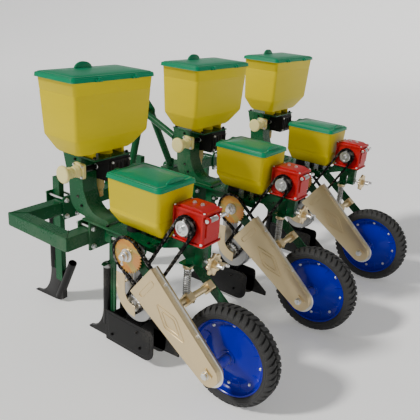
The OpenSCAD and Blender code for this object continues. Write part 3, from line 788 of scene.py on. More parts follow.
class BuildHoppers(PlanterOperator):
    """Builds the fertiliser hoppers and the seed boxes"""

    bl_idname = "planter.build_hoppers"
    bl_label = "Hoppers and seed boxes"

    def execute(self, context):
        boxes = context.scene.planter_boxes
        corner = boxes.corner
        rim = (2, 692, 390, 205, corner, FERTILISER_TOP)
        waist = (2, 692, 366, 191, corner + 3, 900)
        floor = (-16, 690, 268, 140, corner + 12, 838)
        shell = box_shell(rim, waist, floor, boxes, 1062)
        for x in (-42, 108):
            shell.level(round_rectangle((x, 690), 16, 60, 4), 804, 842)
        shell.turned((48, 700, 804), Z, [(0, 30), (5, 30), (8, 27), (36, 27)])
        add_to_rows("hopper_shell", shell, "yellow_moulding",
                    replaces=["fertiliser_hopper"])
        rim = (-6.6, 400, 198, 256, corner, SEED_TOP)
        waist = (-6.6, 400, 190, 248, corner + 3, 648)
        floor = (-6.6, 400, 104, 232, corner + 9, 590)
        shell = box_shell(rim, waist, floor, boxes, 664)
        add_to_rows("seed_box_shell", shell, "yellow_moulding", replaces=["seed_box"])
        feet = Form().turned((-17, 470, CHANNEL_TOP), Z, [(0, 28), (5, 28), (8, 26), (33, 26)])
        for y in (352, 407):
            feet.level(round_rectangle((5, y), 38, 14, 4), CHANNEL_TOP, 592)
        add_to_rows("seed_box_feet", feet, "black_moulding")
        ears = self.hinge_ears(Form(), (-90, 90), HOPPER_HINGE, 594)
        add_to_rows("hopper_hinge_ears", ears, "lid_moulding")
        ears = self.hinge_ears(Form(), (-45, 45), SEED_HINGE, 524)
        add_to_rows("seed_hinge_ears", ears, "lid_moulding")
        return {"FINISHED"}

    def hinge_ears(self, form, xs, hinge, wall_y):
        """Ears with pins that reach from the wall of a box to the hinge of its lid."""
        for x in xs:
            low, high = sorted((hinge.y, wall_y))
            form.block((x - 15, low, hinge.z - 6), (x - 5, high, hinge.z + 4))
            form.rod((x - 16, hinge.y, hinge.z), (x + 15, hinge.y, hinge.z), 3.4, 12)
        return form


def lid_form(centre, width, depth, z, tab, knuckles, hinge, reach_y):
    """A moulded lid: a flared skirt, a stepped border, a low crown, its tab and its knuckles."""
    def ring(inset, height, corner):
        radius = max(corner - inset * 0.4, 4)
        outline = round_rectangle(centre, width - 2 * inset, depth - 2 * inset, radius, 7)
        return [(x, y, z + height) for x, y in outline]

    border = ((-0.5, -13), (0.5, -11.5), (1.5, -2), (2.5, 0.4), (4.5, 1.6), (9, 2), (10.5, 4.4), (13, 5.2),
              (19, 5.0), (21, 3.6), (24, 3.6), (26, 5.2))
    outside = [ring(inset, height, 18) for inset, height in border]
    outside += [ring(depth * 0.24, 7.4, 20), ring(depth * 0.36, 8.5, 20)]
    inside = [ring(1.5, -13, 17), ring(3.5, -3, 17), ring(6, -1.5, 17), ring(depth * 0.36, 4.5, 17)]
    form = Form().skin(list(reversed(outside)) + inside)
    tab_y, half, rise, thick = tab
    mound = arc((0, 0), 1, 0, 180, 18)
    slices = ((-thick, -2), (1.2 - thick, 0), (thick - 1.2, 0), (thick, -2))
    form.skin([[(centre[0] + u * (half + grow), tab_y + dy, z + 3 + v * (rise + grow)) for u, v in mound]
               for dy, grow in slices])
    for x in knuckles:
        form.rod((x - 3, hinge.y, hinge.z), (x + 14, hinge.y, hinge.z), 6, 20)
        low, high = sorted((hinge.y, reach_y))
        form.block((x - 2, low, hinge.z - 1), (x + 13, high, z + 1))
    return form


class BuildLids(PlanterOperator):
    """Builds the lids of the hoppers and seed boxes"""

    bl_idname = "planter.build_lids"
    bl_label = "Lids"

    def execute(self, context):
        lid = lid_form((0, 692), 410, 220, FERTILISER_TOP + 2, (768, 42, 27, 5), (-90, 90), HOPPER_HINGE, 586)
        add_to_rows("hopper_cover", lid, "lid_moulding", "fertiliser_lid", ["fertiliser_lid"])
        lid = lid_form((-6.6, 400), 209, 268, SEED_TOP + 2, (286, 48, 20, 3.5), (-45, 45), SEED_HINGE, 530)
        add_to_rows("seed_cover", lid, "lid_moulding", "seed_lid", ["seed_lid"])
        return {"FINISHED"}


# ---------- dosing ----------
class BuildDosing(PlanterOperator):
    """Builds the dosing boxes' covers, the cups and the cream knobs"""

    bl_idname = "planter.build_dosing"
    bl_label = "Dosing boxes and knobs"

    def execute(self, context):
        dress("dosing_boxes", "black_moulding", 3.0)
        covers = Form()
        covers.across(round_rectangle((71, 746), 104, 82, 8), 634, 641)
        for x in (30, 51, 72, 93, 112):
            covers.block((x - 1.5, 630, 716), (x + 1.5, 636, 778))
        covers.level(round_rectangle((71, 700), 120, 116, 8), 788, 795)
        covers.turned((48, 738, 690), Z, [(0, 24), (8, 24), (10, 22)], 28)
        add_to_rows("dosing_cover", covers, "black_moulding", edge=1.0)
        screws = Form()
        for x, z in ((26, 712), (116, 712), (26, 780), (116, 780)):
            screws.bolt((x, 634, z), -Y, 8, 4)
        add_to_rows("dosing_screws", screws, "bright_zinc")
        ribs = [(0, 16.5), (2, 18)]
        for i in range(4):
            ribs += [(4 + i * 7, 18), (5 + i * 7, 16.6), (8 + i * 7, 16.6), (9 + i * 7, 18)]
        cup = ribs + [(33, 19), (36, 22), (79, 22), (81, 20.5), (81, 16), (30, 15), (0, 14.5)]
        add_to_rows("amber_cup", Form().turned((48, 738, 609), Z, cup, 32, joined=True), "cloudy_amber",
                    replaces=["outlet_cups"])
        self.build_knob()
        return {"FINISHED"}

    def build_knob(self):
        """The cream knob turns with the fluted roller; its flange bears on the column."""
        at = (0, DOSING.y, DOSING.z)
        knob = Form()
        dial = [(-156, 20), (-156, 29), (-154.5, 33), (-152, 34.7), (-146, 35), (-143.5, 33.5), (-142, 30)]
        knob.turned(at, X, dial + [(-141.8, 20)], 56)
        neck = [(-142.5, 15), (-136, 14.5), (-132, 17), (-128, 21), (-120, 22), (-112, 21), (-110, 19),
                (-104, 19), (-102, 21.5), (-92, 22), (-88, 24.5), (-82, 24.5), (-76, 22)]
        knob.turned(at, X, neck, 40)
        flange = round_rectangle((DOSING.y, DOSING.z), 60, 60, 9)
        inner = round_rectangle((DOSING.y, DOSING.z), 56, 56, 8)
        knob.skin([[(x, y, z) for y, z in outline] for x, outline in
                   ((-62.5, inner), (-63.5, flange), (-74, flange), (-76, inner))])
        for i in range(12):
            a = math.radians(30 * i)
            ridge = [at[1] + 20.5 * math.cos(a), at[2] + 20.5 * math.sin(a)]
            knob.tube([(-128, *ridge), (-112, *ridge)], 2.4, 8)
        add_to_rows("cream_knob", knob, "cream_nylon", "dosing_knob", ["dosing_knob"])
        roller = Form().rod((12, at[1], at[2]), (134, at[1], at[2]), 12)
        flutes = []
        for i in range(12):
            flutes += arc((DOSING.y, DOSING.z), 26, i * 30 - 7, i * 30 + 7, 3)
            flutes += arc((DOSING.y, DOSING.z), 20, i * 30 + 12, i * 30 + 18, 2)
        roller.upright(flutes, 24, 84)
        add_to_rows("fluted_roller", roller, "bright_zinc", "dosing_knob")
        shaft = Form().rod((-62.5, at[1], at[2]), (12.5, at[1], at[2]), 9)
        add_to_rows("dosing_shaft", shaft, "black_moulding", "dosing_knob")
        screws = Form()
        for dy in (-22, 22):
            for dz in (-22, 22):
                screws.bolt((-76, DOSING.y + dy, DOSING.z + dz), -X, 10, 5)
        add_to_rows("knob_screws", screws, "bright_zinc", "dosing_knob")


# ---------- sprockets and chains ----------
def pitch_radius(teeth, pitch):
    return pitch / (2 * math.sin(math.pi / teeth))


def tooth_outline(centre, teeth, pitch, roller):
    """Teeth with round roots for the rollers and narrow crowned tips."""
    base = pitch_radius(teeth, pitch)
    points = []
    for i in range(teeth):
        for share, lift in ((-0.5, -roller), (-0.33, -roller * 0.72), (-0.22, 0), (-0.12, 2.6), (0, 3.6),
                            (0.12, 2.6), (0.22, 0), (0.33, -roller * 0.72)):
            a = 2 * math.pi * (i + share) / teeth
            points.append((centre[0] + (base + lift) * math.cos(a), centre[1] + (base + lift) * math.sin(a)))
    return points


def sprocket(form, x, teeth, centre, chains):
    """A sprocket plate whose teeth thin towards the tips."""
    centre = (centre.y, centre.z)
    outline = tooth_outline(centre, teeth, chains.pitch, chains.roller)
    base = pitch_radius(teeth, chains.pitch)
    inner = [(centre[0] + (y - centre[0]) * 0.93, centre[1] + (z - centre[1]) * 0.93) for y, z in outline]
    hub = arc(centre, base * 0.5, -180 / teeth, 360 - 180 / teeth, len(outline))[:-1]
    rings = ((-3, hub), (-3, inner), (-1.4, outline), (1.4, outline), (3, inner), (3, hub))
    return form.skin([[(x + dx, y, z) for y, z in ring] for dx, ring in rings])


def chain_route(a, radius_a, b, radius_b):
    """A loop round two wheels: a list of (length, function of distance) stretches."""
    span = math.hypot(b[0] - a[0], b[1] - a[1])
    lean = math.atan2(b[1] - a[1], b[0] - a[0])
    tilt = math.asin((radius_a - radius_b) / span)
    reach = span * math.cos(tilt)

    def on_circle(centre, radius, angle):
        return (centre[0] + radius * math.cos(angle), centre[1] + radius * math.sin(angle))

    up, down = lean + math.pi / 2 - tilt, lean - math.pi / 2 + tilt
    turn_a, turn_b = math.pi + 2 * tilt, math.pi - 2 * tilt
    start_a, start_b = on_circle(a, radius_a, down), on_circle(b, radius_b, up)
    end_a, end_b = on_circle(a, radius_a, up), on_circle(b, radius_b, down)

    def straight(p, q):
        return lambda s: (p[0] + (q[0] - p[0]) * s / reach, p[1] + (q[1] - p[1]) * s / reach)

    return [(reach, straight(end_a, start_b)),
            (radius_b * turn_b, lambda s: on_circle(b, radius_b, up - s / radius_b)),
            (reach, straight(end_b, start_a)),
            (radius_a * turn_a, lambda s: on_circle(a, radius_a, down - s / radius_a))]


def chain(form, x, route, chains):
    """Rollers with inner and outer link plates in turn, round a loop."""
    total = sum(length for length, _ in route)
    count = 2 * round(total / chains.pitch / 2)
    points = []
    for i in range(count):
        along = i * total / count
        for length, place in route:
            if along <= length:
                points.append(place(along))
                break
            along -= length
    for i, here in enumerate(points):
        after = points[(i + 1) % count]
        form.turned((x - 4.2, *here), X, [(0, chains.roller), (8.4, chains.roller)], 10)
        gap = 3.6 if i % 2 else 5.2
        plate = link_outline(here, after, chains.plate, 4)
        for side in (-1, 1):
            inside, outside = sorted((x + side * gap, x + side * (gap + 1.3)))
            form.upright(plate, inside, outside)
    return form


class BuildDrive(PlanterOperator):
    """Builds the sprockets, their shafts and the two chains of each row"""

    bl_idname = "planter.build_drive"
    bl_label = "Sprockets and chains"

    def execute(self, context):
        chains = context.scene.planter_chains
        add_to_rows("main_gear", sprocket(Form(), DRIVE_PLANE, MAIN_TEETH, PIVOT, chains), "amber_zinc",
                    "main_sprocket", ["main_sprocket"])
        shaft, at = Form(), (0, PIVOT.y, PIVOT.z)
        shaft.rod((-150, *at[1:]), (164, *at[1:]), 12.5)
        shaft.turned(at, X, [(-138, 17), (-136, 19), (-124, 19), (-122, 26), (-119, 26), (-113, 26),
                             (-100, 24), (-98, 22)])
        shaft.rod((-144, PIVOT.y, PIVOT.z - 24), (-144, PIVOT.y, PIVOT.z + 24), 2.6, 12)
        shaft.tube([(-144, PIVOT.y + 5 * math.cos(a), PIVOT.z - 26 + 5 * math.sin(a)) for a in
                    (math.radians(i * 30) for i in range(12))], 1.6, 8, joined=True)
        shaft.bolt((-130, PIVOT.y, PIVOT.z + 18), Z, 8, 5, False)
        for x in (150, 158):
            shaft.turned(at, X, [(x - 3, 17), (x - 2, 19), (x + 2, 19), (x + 3, 17)])
        add_to_rows("main_shaft", shaft, "bright_zinc", "main_sprocket")

        teeth = sprocket(Form(), SEED_PLANE, SEED_TEETH, GEAR_SHAFT, chains)
        add_to_rows("gearbox_gear", teeth, "oiled_steel", "gearbox_sprocket",
                    ["gearbox_sprocket"])
        hub, at = Form(), (0, GEAR_SHAFT.y, GEAR_SHAFT.z)
        hub.turned(at, X, [(-86, 8), (-84, 10), (-73, 10.2), (-73, 19), (-78, 21), (-78, 26.5), (-76.5, 28),
                           (-62, 28), (-60.5, 26.5), (-59, 24)], 40)
        hub.turned(at, X, [(-54, 18), (-49.5, 18), (-48.5, 16)], 32)
        hub.rod((-48.6, *at[1:]), (64, *at[1:]), 10)
        hub.bolt((-68, GEAR_SHAFT.y, GEAR_SHAFT.z + 27), Z, 7, 4, False)
        hub.turned(at, X, [(-10, 44), (6, 44)], 44)
        add_to_rows("gearbox_hub", hub, "bright_zinc", "gearbox_sprocket")

        meter, at = Form(), (0, METER.y, METER.z)
        sprocket(meter, SEED_PLANE, SEED_TEETH, METER, chains)
        meter.rod((-72, *at[1:]), (26, *at[1:]), 10)
        meter.bolt((-59, *at[1:]), -X, 30, 9, False)
        meter.turned(at, X, [(-54, 16), (-46.5, 16)], 28)
        meter.turned(at, X, [(-20, 74), (-18, 76), (-12, 76), (-10, 74)], 64)
        for i in range(12):
            a = math.radians(i * 30)
            cell = (-22, METER.y + 62 * math.cos(a), METER.z + 62 * math.sin(a))
            meter.turned(cell, X, [(0, 5), (3, 6.5)], 12)
        add_to_rows("meter_gear", meter, "bright_zinc", "seed_disc", ["seed_disc"])

        small, large = pitch_radius(SEED_TEETH, chains.pitch), pitch_radius(MAIN_TEETH, chains.pitch)
        route = chain_route((GEAR_SHAFT.y, GEAR_SHAFT.z), small, (METER.y, METER.z), small)
        add_to_rows("seed_chain", chain(Form(), SEED_PLANE, route, chains), "oiled_steel")
        route = chain_route((PIVOT.y, PIVOT.z), large, (AXLE.y, AXLE.z),
                            pitch_radius(WHEEL_TEETH, chains.pitch))
        add_to_rows("drive_chain", chain(Form(), DRIVE_PLANE, route, chains), "oiled_steel",
                    "arm")
        return {"FINISHED"}


# ---------- gearbox ----------
LEVER_Y, LEVER_Z = 109, 711


class BuildGearboxes(PlanterOperator):
    """Builds the red gearboxes with their lids, levers and handwheels"""

    bl_idname = "planter.build_gearboxes"
    bl_label = "Gearboxes"

    def execute(self, context):
        box = Form()
        middle = (8, 190)
        for low, high, width, depth, radius in ((607, 613, 112, 146, 10), (613, 720, 98, 136, 9),
                                                (720, 730, 106, 143, 8)):
            box.level(round_rectangle(middle, width, depth, radius), low, high)
        roof = [(124, 729), (256, 729), (228, 739), (152, 739)]
        box.upright(roof, -36, 52)
        at = (0, GEAR_SHAFT.y, GEAR_SHAFT.z)
        box.turned(at, X, [(-48, 20), (-47.5, 23), (-45, 24), (-44, 29), (-41, 31)], 40)
        # ribs beside the shaft and on the rear wall, and the ears of the lever
        box.block((-47, 123, 640), (-40, 130, 722))
        box.block((-47, 250, 640), (-40, 257, 722))
        box.across([(-30, 640), (46, 640), (46, 690), (30, 704), (-14, 704), (-30, 690)], 117, 123)
        for x in (-38, 12):
            ear = arc((LEVER_Y, LEVER_Z), 11, 90, 270, 10) + [(124, 700), (124, 722)]
            box.upright(ear, x, x + 7)
        add_to_rows("gearbox_case", box, "red_enamel", replaces=["gearboxes"], edge=2.2)
        fittings = Form()
        for x in (-42, 58):
            for y in (130, 250):
                fittings.bolt((x * 0.98, y, 613), Z, 9, 5)
        for x, y in ((-38, 126), (54, 126), (-38, 254), (54, 254)):
            fittings.bolt((x, y, 730), Z, 7, 4, False)
        for y in (170, 205):
            fittings.turned((8, y, 739), Z, [(0, 8), (2, 8), (3, 6.5), (6, 6.5), (7, 5)], 20)
        for turn in range(4):
            a = math.radians(45 + 90 * turn)
            fittings.bolt((-44, at[1] + 36 * math.cos(a), at[2] + 36 * math.sin(a)), -X, 7, 3, False)
        add_to_rows("gearbox_bolts", fittings, "bright_zinc")
        spring = Form().coil((-30, LEVER_Y, LEVER_Z), X, 41, 8.2, 1.5, 9)
        add_to_rows("lever_spring", spring, "spring_steel")
        lever = Form().rod((-46, LEVER_Y, LEVER_Z), (36, LEVER_Y, LEVER_Z), 4.9, 20)
        lever.turned((30, LEVER_Y, LEVER_Z), X, [(0, 5), (2, 7.6), (26, 8), (30, 7), (32, 4.5)], 28)
        lever.turned((-46, LEVER_Y, LEVER_Z), X, [(-1, 5), (0, 7), (4, 7), (5, 5)], 24)
        add_to_rows("shift_rod", lever, "bright_zinc", "gear_lever", ["gear_lever"])
        self.build_handwheel()
        return {"FINISHED"}

    def build_handwheel(self):
        """The depth screw's lobed wheel with its hub and its chrome handle."""
        x, z = WHEEL_X, HANDWHEEL.z
        lobes = 8

        def ring(y, inset):
            points = []
            for i in range(lobes * 12):
                a = 2 * math.pi * i / (lobes * 12)
                radius = 39.5 - inset + 4.5 * math.cos(lobes * a)
                points.append((x + radius * math.cos(a), y, z + radius * math.sin(a)))
            return points

        def round_ring(y, radius):
            count = lobes * 12
            turns = [2 * math.pi * i / count for i in range(count)]
            return [(x + radius * math.cos(a), y, z + radius * math.sin(a)) for a in turns]

        wheel = Form().skin([round_ring(110, 12), round_ring(107, 22), round_ring(104.5, 27), ring(104, 4.5),
                             ring(105, 1.5), ring(108, 0), ring(112, 0), ring(115, 1.5), ring(116, 5),
                             round_ring(116, 20)])
        wheel.turned((x, 0, z), Y, [(92, 9), (93, 12), (110, 13)], 32)
        add_to_rows("depth_wheel", wheel, "gold_zinc", "depth_handwheel", ["depth_handwheel"])
        screw = Form().rod((x, 70, z), (x, 192, z), 7.6)
        for i in range(14):
            screw.turned((x, 118 + i * 5, z), Y, [(0, 7.4), (1.2, 8), (2.4, 7.4)], 20)
        screw.bolt((x, 92, z), -Y, 16, 7, False)
        handle = [(0, 6), (4, 5), (10, 4.6), (16, 6), (30, 7), (38, 6.6), (42, 4)]
        screw.turned((x + 26, 104, z), -Y, handle, 24)
        add_to_rows("depth_screw", screw, "bright_zinc", "depth_handwheel")


# ---------- seed meter and openers ----------
class BuildOpeners(PlanterOperator):
    """Builds the seed meters, openers and boots and finishes the tines"""

    bl_idname = "planter.build_openers"
    bl_label = "Meters and openers"

    def execute(self, context):
        dress("fertiliser_tubes", "black_enamel", 0.8)
        self.build_tines()
        self.build_meter()
        self.build_opener()
        self.build_boot()
        return {"FINISHED"}

    def build_tines(self):
        """Green bars on the front beam, each with a black pipe that ends in a share."""
        bars, pipes, welds = Form(), Form(), Form()
        front = FRONT_FACE + TINE_DEPTH
        foot = WHEEL_CENTRE.z / MM
        low = foot - (foot + TIP_Y * math.sin(STANCE)) / math.cos(STANCE)
        nose = front + 41.5
        share = curve((nose, 120), (nose, (120 + low) / 2), (nose + 35, low + 14), (TIP_Y, low), 14)
        share += [(1112, low + 12), (FRONT_FACE, low + 32), (FRONT_FACE, 120)]
        slim = [(y - 7 if y > front else y, z) for y, z in share]
        for x in TINE_X:
            bars.block((x - 14, FRONT_FACE, 60), (x + 14, front, 594))
            pipes.turned((x, front + 20, 0), Z, [(118, 19), (121, 21.4), (378, 21.4), (380, 20), (380, 17.5),
                                                 (370, 17.5)], 40)
            pipes.skin([[(x + side, y, z) for y, z in ring] for side, ring in
                        ((-13, slim), (-9, share), (9, share), (13, slim))])
            for z in (140, 360):
                welds.weld((x - 14, front + 2, z - 22), (x - 14, front + 2, z + 22), 3)
                welds.weld((x + 14, front + 2, z - 22), (x + 14, front + 2, z + 22), 3)
        mesh = pipes.mesh("tine_pipes")
        mesh.set_sharp_from_angle(angle=math.radians(38))
        add_piece("tine_pipes", mesh, MACHINE, "black_enamel", "root", ["fertiliser_tines"])
        add_piece("tine_bars", bars.mesh("tine_bars"), MACHINE, "green_enamel", "root",
                  edge=2.5)
        add_piece("tine_welds", welds.mesh("tine_welds"), MACHINE, "green_enamel", "root")

    def build_meter(self):
        case, at = Form(), (0, METER.y, METER.z)
        case.turned(at, X, [(-44, 20), (-46, 24), (-46, 58), (-43, 64), (-43, 80), (-41, 83), (-24, 85),
                            (-12, 85), (-11, 89), (-5, 89), (-4, 85), (12, 84), (16, 80), (18, 74),
                            (18, 22)], 72)
        for i in range(6):
            a = math.radians(i * 60 + 15)
            case.turned((-12, METER.y + 87 * math.cos(a), METER.z + 87 * math.sin(a)), X,
                        [(0, 7), (1, 8), (8, 8), (9, 7)], 20)
        case.level(round_rectangle((-17, 470), 50, 60, 6), 324, 551)
        add_to_rows("meter_case", case, "grey_casting", replaces=["meter_housings"], edge=1.0)
        screws = Form()
        for i in range(6):
            a = math.radians(i * 60 + 15)
            screws.bolt((-12, METER.y + 88 * math.cos(a), METER.z + 88 * math.sin(a)), -X, 8, 4)
        add_to_rows("meter_screws", screws, "bright_zinc")
        foot = Form().level(round_rectangle((-10, 460), 28, 80, 6), 148, 206)
        add_to_rows("meter_foot", foot, "black_enamel", edge=1.0)
        # the strip that guards the chain bends from upright to level round the meter's sprocket
        outside = [(502, 392), (502, 327)] + arc((400, 327), 102, 0, -90, 20)
        inside = arc((400, 327), 56, -90, 0, 16) + [(456, 327), (456, 392)]
        guard = Form().upright(outside + inside, -78, -75)
        guard.block((-76, 478, 340), (-40, 490, 344))
        add_to_rows("chain_guard", guard, "gold_zinc", edge=0.8)

    def build_opener(self):
        pipe = Form().turned((0, 633, 0), Z, [(60, 17), (62, 20), (340, 20)], 40)
        front = curve((653, 132), (653, 66), (690, 16), (744, 2), 12)
        sole = [(740, 0), (600, 4), (585, 26), (585, 132)]
        outline = front + sole
        slim = [(y - 6 if y > 640 else y, z) for y, z in outline]
        pipe.skin([[(x, y, z) for y, z in ring] for x, ring in
                   ((-14, slim), (-9, outline), (9, outline), (14, slim))])
        add_to_rows("opener_pipe", pipe, "black_enamel", replaces=["seed_openers"])
        cap = Form().turned((0, 633, 0), Z, [(338, 21), (349, 21), (352, 19), (353, 12)], 40)
        cap.turned((0, 633, 0), Z, [(335, 20.6), (338, 21.6), (340, 20.6)], 40)
        add_to_rows("pipe_cap", cap, "grey_casting")
        shank = Form().block((-4, 585, 100), (4, 622, 470))
        shank.block((-30, 585, 465), (30, 620, 551))
        wing = curve((-32, 349), (-30, 362), (-14, 362), (0, 354), 6)
        wing += curve((2, 354), (14, 362), (30, 362), (32, 349), 6)
        shank.across(wing, 622, 640)
        shank.weld((-6, 604, 110), (-6, 604, 340), 2.2)
        add_to_rows("opener_shank", shank, "green_enamel", edge=1.2)
        bolts = Form()
        for z in (486, 528):
            for x in (-18, 18):
                bolts.bolt((x, 585, z), -Y, 13, 7)
        add_to_rows("shank_bolts", bolts, "bright_zinc")

    def build_boot(self):
        boot, bolts = Form(), Form()
        side = [(600, 160), (600, 18), (596, 16)] + curve((380, 16), (350, 16), (331, 40), (331, 64), 8)
        side += curve((331, 130), (331, 152), (338, 160), (352, 160), 6)
        panel = curve((590, 150), (590, 60), (584, 34), (560, 30), 8)
        panel += curve((400, 30), (360, 30), (346, 50), (346, 80), 8)
        panel += curve((346, 120), (346, 140), (356, 150), (376, 150), 6)
        for x in (-40, 40):
            out = 1 if x > 0 else -1
            boot.upright(side, x - 3, x + 3)
            inner = [(y + (470 - y) * 0.04, z + (90 - z) * 0.06) for y, z in panel]
            boot.skin([[(x + out * 2.5, y, z) for y, z in panel], [(x + out * 5, y, z) for y, z in inner]])
            for y, z in ((560, 56), (400, 62), (420, 128)):
                bolts.bolt((x + out * 5, y, z), X * out, 10, 4)
        boot.block((-40, 560, 110), (40, 566, 160))
        boot.block((-40, 420, 144), (40, 500, 150))
        tail = [(400, 30), (400, 120), (345, 120), (262, 60), (262, 40)]
        boot.upright(tail, 37, 44)
        add_to_rows("boot", boot, "black_enamel", edge=1.2)
        add_to_rows("boot_bolts", bolts, "oiled_steel")


# ---------- press wheel, arm and cover ----------
def on_arm(along, side):
    """The (y, z) of a point measured along the arm from the axle, and square to it."""
    c, s = math.cos(ARM_ANGLE), math.sin(ARM_ANGLE)
    return (AXLE.y + along * c - side * s, AXLE.z + along * s + side * c)


COVER_END, COVER_MOUTH, COVER_REACH = 47.5, 81, 404


def cover_line(grow, reach=COVER_REACH):
    """The edge of the chain cover: down one side, round the axle and up the other."""
    splay = math.atan2(COVER_MOUTH - COVER_END, COVER_REACH)
    mouth = COVER_MOUTH + grow - (COVER_REACH - reach) * math.tan(splay)
    turn = math.degrees(splay)
    points = [(reach, -mouth)] + arc((0, 0), COVER_END + grow, -90 - turn, -270 + turn, 24) + [(reach, mouth)]
    return [on_arm(a, b) for a, b in points]


class BuildArms(PlanterOperator):
    """Builds the press arms, the chain covers and the press springs"""

    bl_idname = "planter.build_arms"
    bl_label = "Arms, covers and springs"

    def execute(self, context):
        self.build_cover()
        self.build_arm()
        spring = Form().coil((0, SPRING_Y, SPRING_FOOT), Z, SPRING_TOP - SPRING_FOOT, 12.6, 2.4, 16)
        for piece in add_to_rows("press_coil", spring, "spring_steel",
                                 replaces=["press_spring"]):
            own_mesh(piece)
        wall = [(-1, 20), (1, 21), (14, 20), (16, 18.5), (16, 17), (1, 17)]
        cup = Form().turned((0, SPRING_Y, SPRING_TOP), -Z, wall, 36)
        add_to_rows("spring_cup", cup, "gold_zinc")
        return {"FINISHED"}

    def build_cover(self):
        cover = Form()
        wall = 3
        ring = cover_line(0) + list(reversed(cover_line(-wall)))
        cover.upright(ring, COVER_LEFT + 2, COVER_RIGHT - 2)
        for outer, inner in ((COVER_LEFT, COVER_LEFT + wall), (COVER_RIGHT, COVER_RIGHT - wall)):
            step = (inner - outer) / wall
            rings = [(outer, -2.4), (outer + step * 0.7, -0.8), (outer + step * 2.2, 0), (inner, 0)]
            cover.skin([[(x, y, z) for y, z in cover_line(grow)] for x, grow in rings])
        flange = cover_line(9) + list(reversed(cover_line(-1)))
        seam = Form().upright(flange, -119, -117.2)
        seam.upright(flange, -115.2, -113.4)
        seam.tube([(-116.2, y, z) for y, z in cover_line(9)], 2.6, 8)
        add_to_rows("cover_seam", seam, "bright_zinc", "arm")
        for x in (COVER_LEFT + 1.5, COVER_RIGHT - 1.5):
            mouth = [on_arm(COVER_REACH, side) for side in (-COVER_MOUTH + 2, COVER_MOUTH - 2)]
            cover.tube([(x, *mouth[0]), (x, *mouth[1])], 2.2, 8)
        # stiffening bead across the mouth and a plain raised rhombus
        face = COVER_LEFT - 0.4
        bead = round_rectangle((366, 0), 20, 96, 8)
        cover.tube([(face, *on_arm(a, b)) for a, b in bead], 2.0, 8, joined=True)
        for scale in (1.0, 0.62):
            rhombus = [(216 + 88 * scale, 0), (216, 40 * scale), (216 - 88 * scale, 0), (216, -40 * scale)]
            path = []
            for i, p in enumerate(rhombus):
                q = rhombus[(i + 1) % 4]
                path += [(p[0] + (q[0] - p[0]) * t, p[1] + (q[1] - p[1]) * t) for t in (0.08, 0.5, 0.92)]
            cover.tube([(face, *on_arm(a, b)) for a, b in path], 1.9, 8, joined=True)
        square = [on_arm(a, b) for a, b in round_rectangle((0, 0), 40, 40, 3)]
        cover.upright(square, COVER_LEFT - 5, COVER_LEFT)
        add_to_rows("cover_shell", cover, "gold_zinc", "arm", ["chain_cover"])
        bolts = Form()
        for along in (120, 330):
            for side in (-1, 1):
                edge = COVER_END + (COVER_MOUTH - COVER_END) * along / COVER_REACH + 3
                bolts.bolt((-119, *on_arm(along, side * edge)), -X, 9, 4)
        bolts.bolt((COVER_LEFT - 5, AXLE.y, AXLE.z), -X, 24, 10)
        add_to_rows("cover_bolts", bolts, "bright_zinc", "arm")

    def build_arm(self):
        bars = Form()
        pivot, axle, tube = (PIVOT.y, PIVOT.z), (AXLE.y, AXLE.z), ARM_TUBE
        bars.upright(link_outline(pivot, tube, 44, 14), -96, -88)
        bars.upright(link_outline(pivot, axle, 44, 14), 140, 148)
        for x0, x1 in ((-96, -84), (134, 150)):
            boss = [(x0, 24), (x0 + 1, 26), (x1 - 1, 26), (x1, 24), (x1, 13.2), (x0, 13.2)]
            bars.turned((0, *pivot), X, boss, 36, joined=True)
        add_to_rows("arm_bars", bars, "green_enamel", "arm", ["press_arm"], edge=1.2)
        fittings = Form().rod((-90, *tube), (144, *tube), 14, 32)
        for x in (-87, 139):
            fittings.turned((0, *tube), X, [(x - 2, 17), (x + 2, 15)], 28)
        for x0, x1 in ((110, 139), (-16, 16)):
            jaw = [on_arm(a, b) for a, b in round_rectangle((254, 2), 40, 46, 6)]
            centre = (sum(p[0] for p in jaw) / len(jaw), sum(p[1] for p in jaw) / len(jaw))
            shift = (tube[0] - centre[0], tube[1] - centre[1])
            fittings.upright([(y + shift[0], z + shift[1]) for y, z in jaw], x0, x1)
        fittings.rod((0, SPRING_Y, SPRING_FOOT - 9), (0, SPRING_Y, SPRING_FOOT + 6), 6, 20)
        fittings.turned((0, SPRING_Y, SPRING_FOOT - 10), Z, [(0, 15), (4, 15)], 28)
        fittings.rod((COVER_LEFT - 14, *axle), (152, *axle), 12.5)
        fittings.bolt((148, *axle), X, 30, 12)
        fittings.bolt((0, tube[0] - 21, tube[1]), -Y, 13, 7)
        add_to_rows("arm_fittings", fittings, "gold_zinc", "arm", edge=0.8)


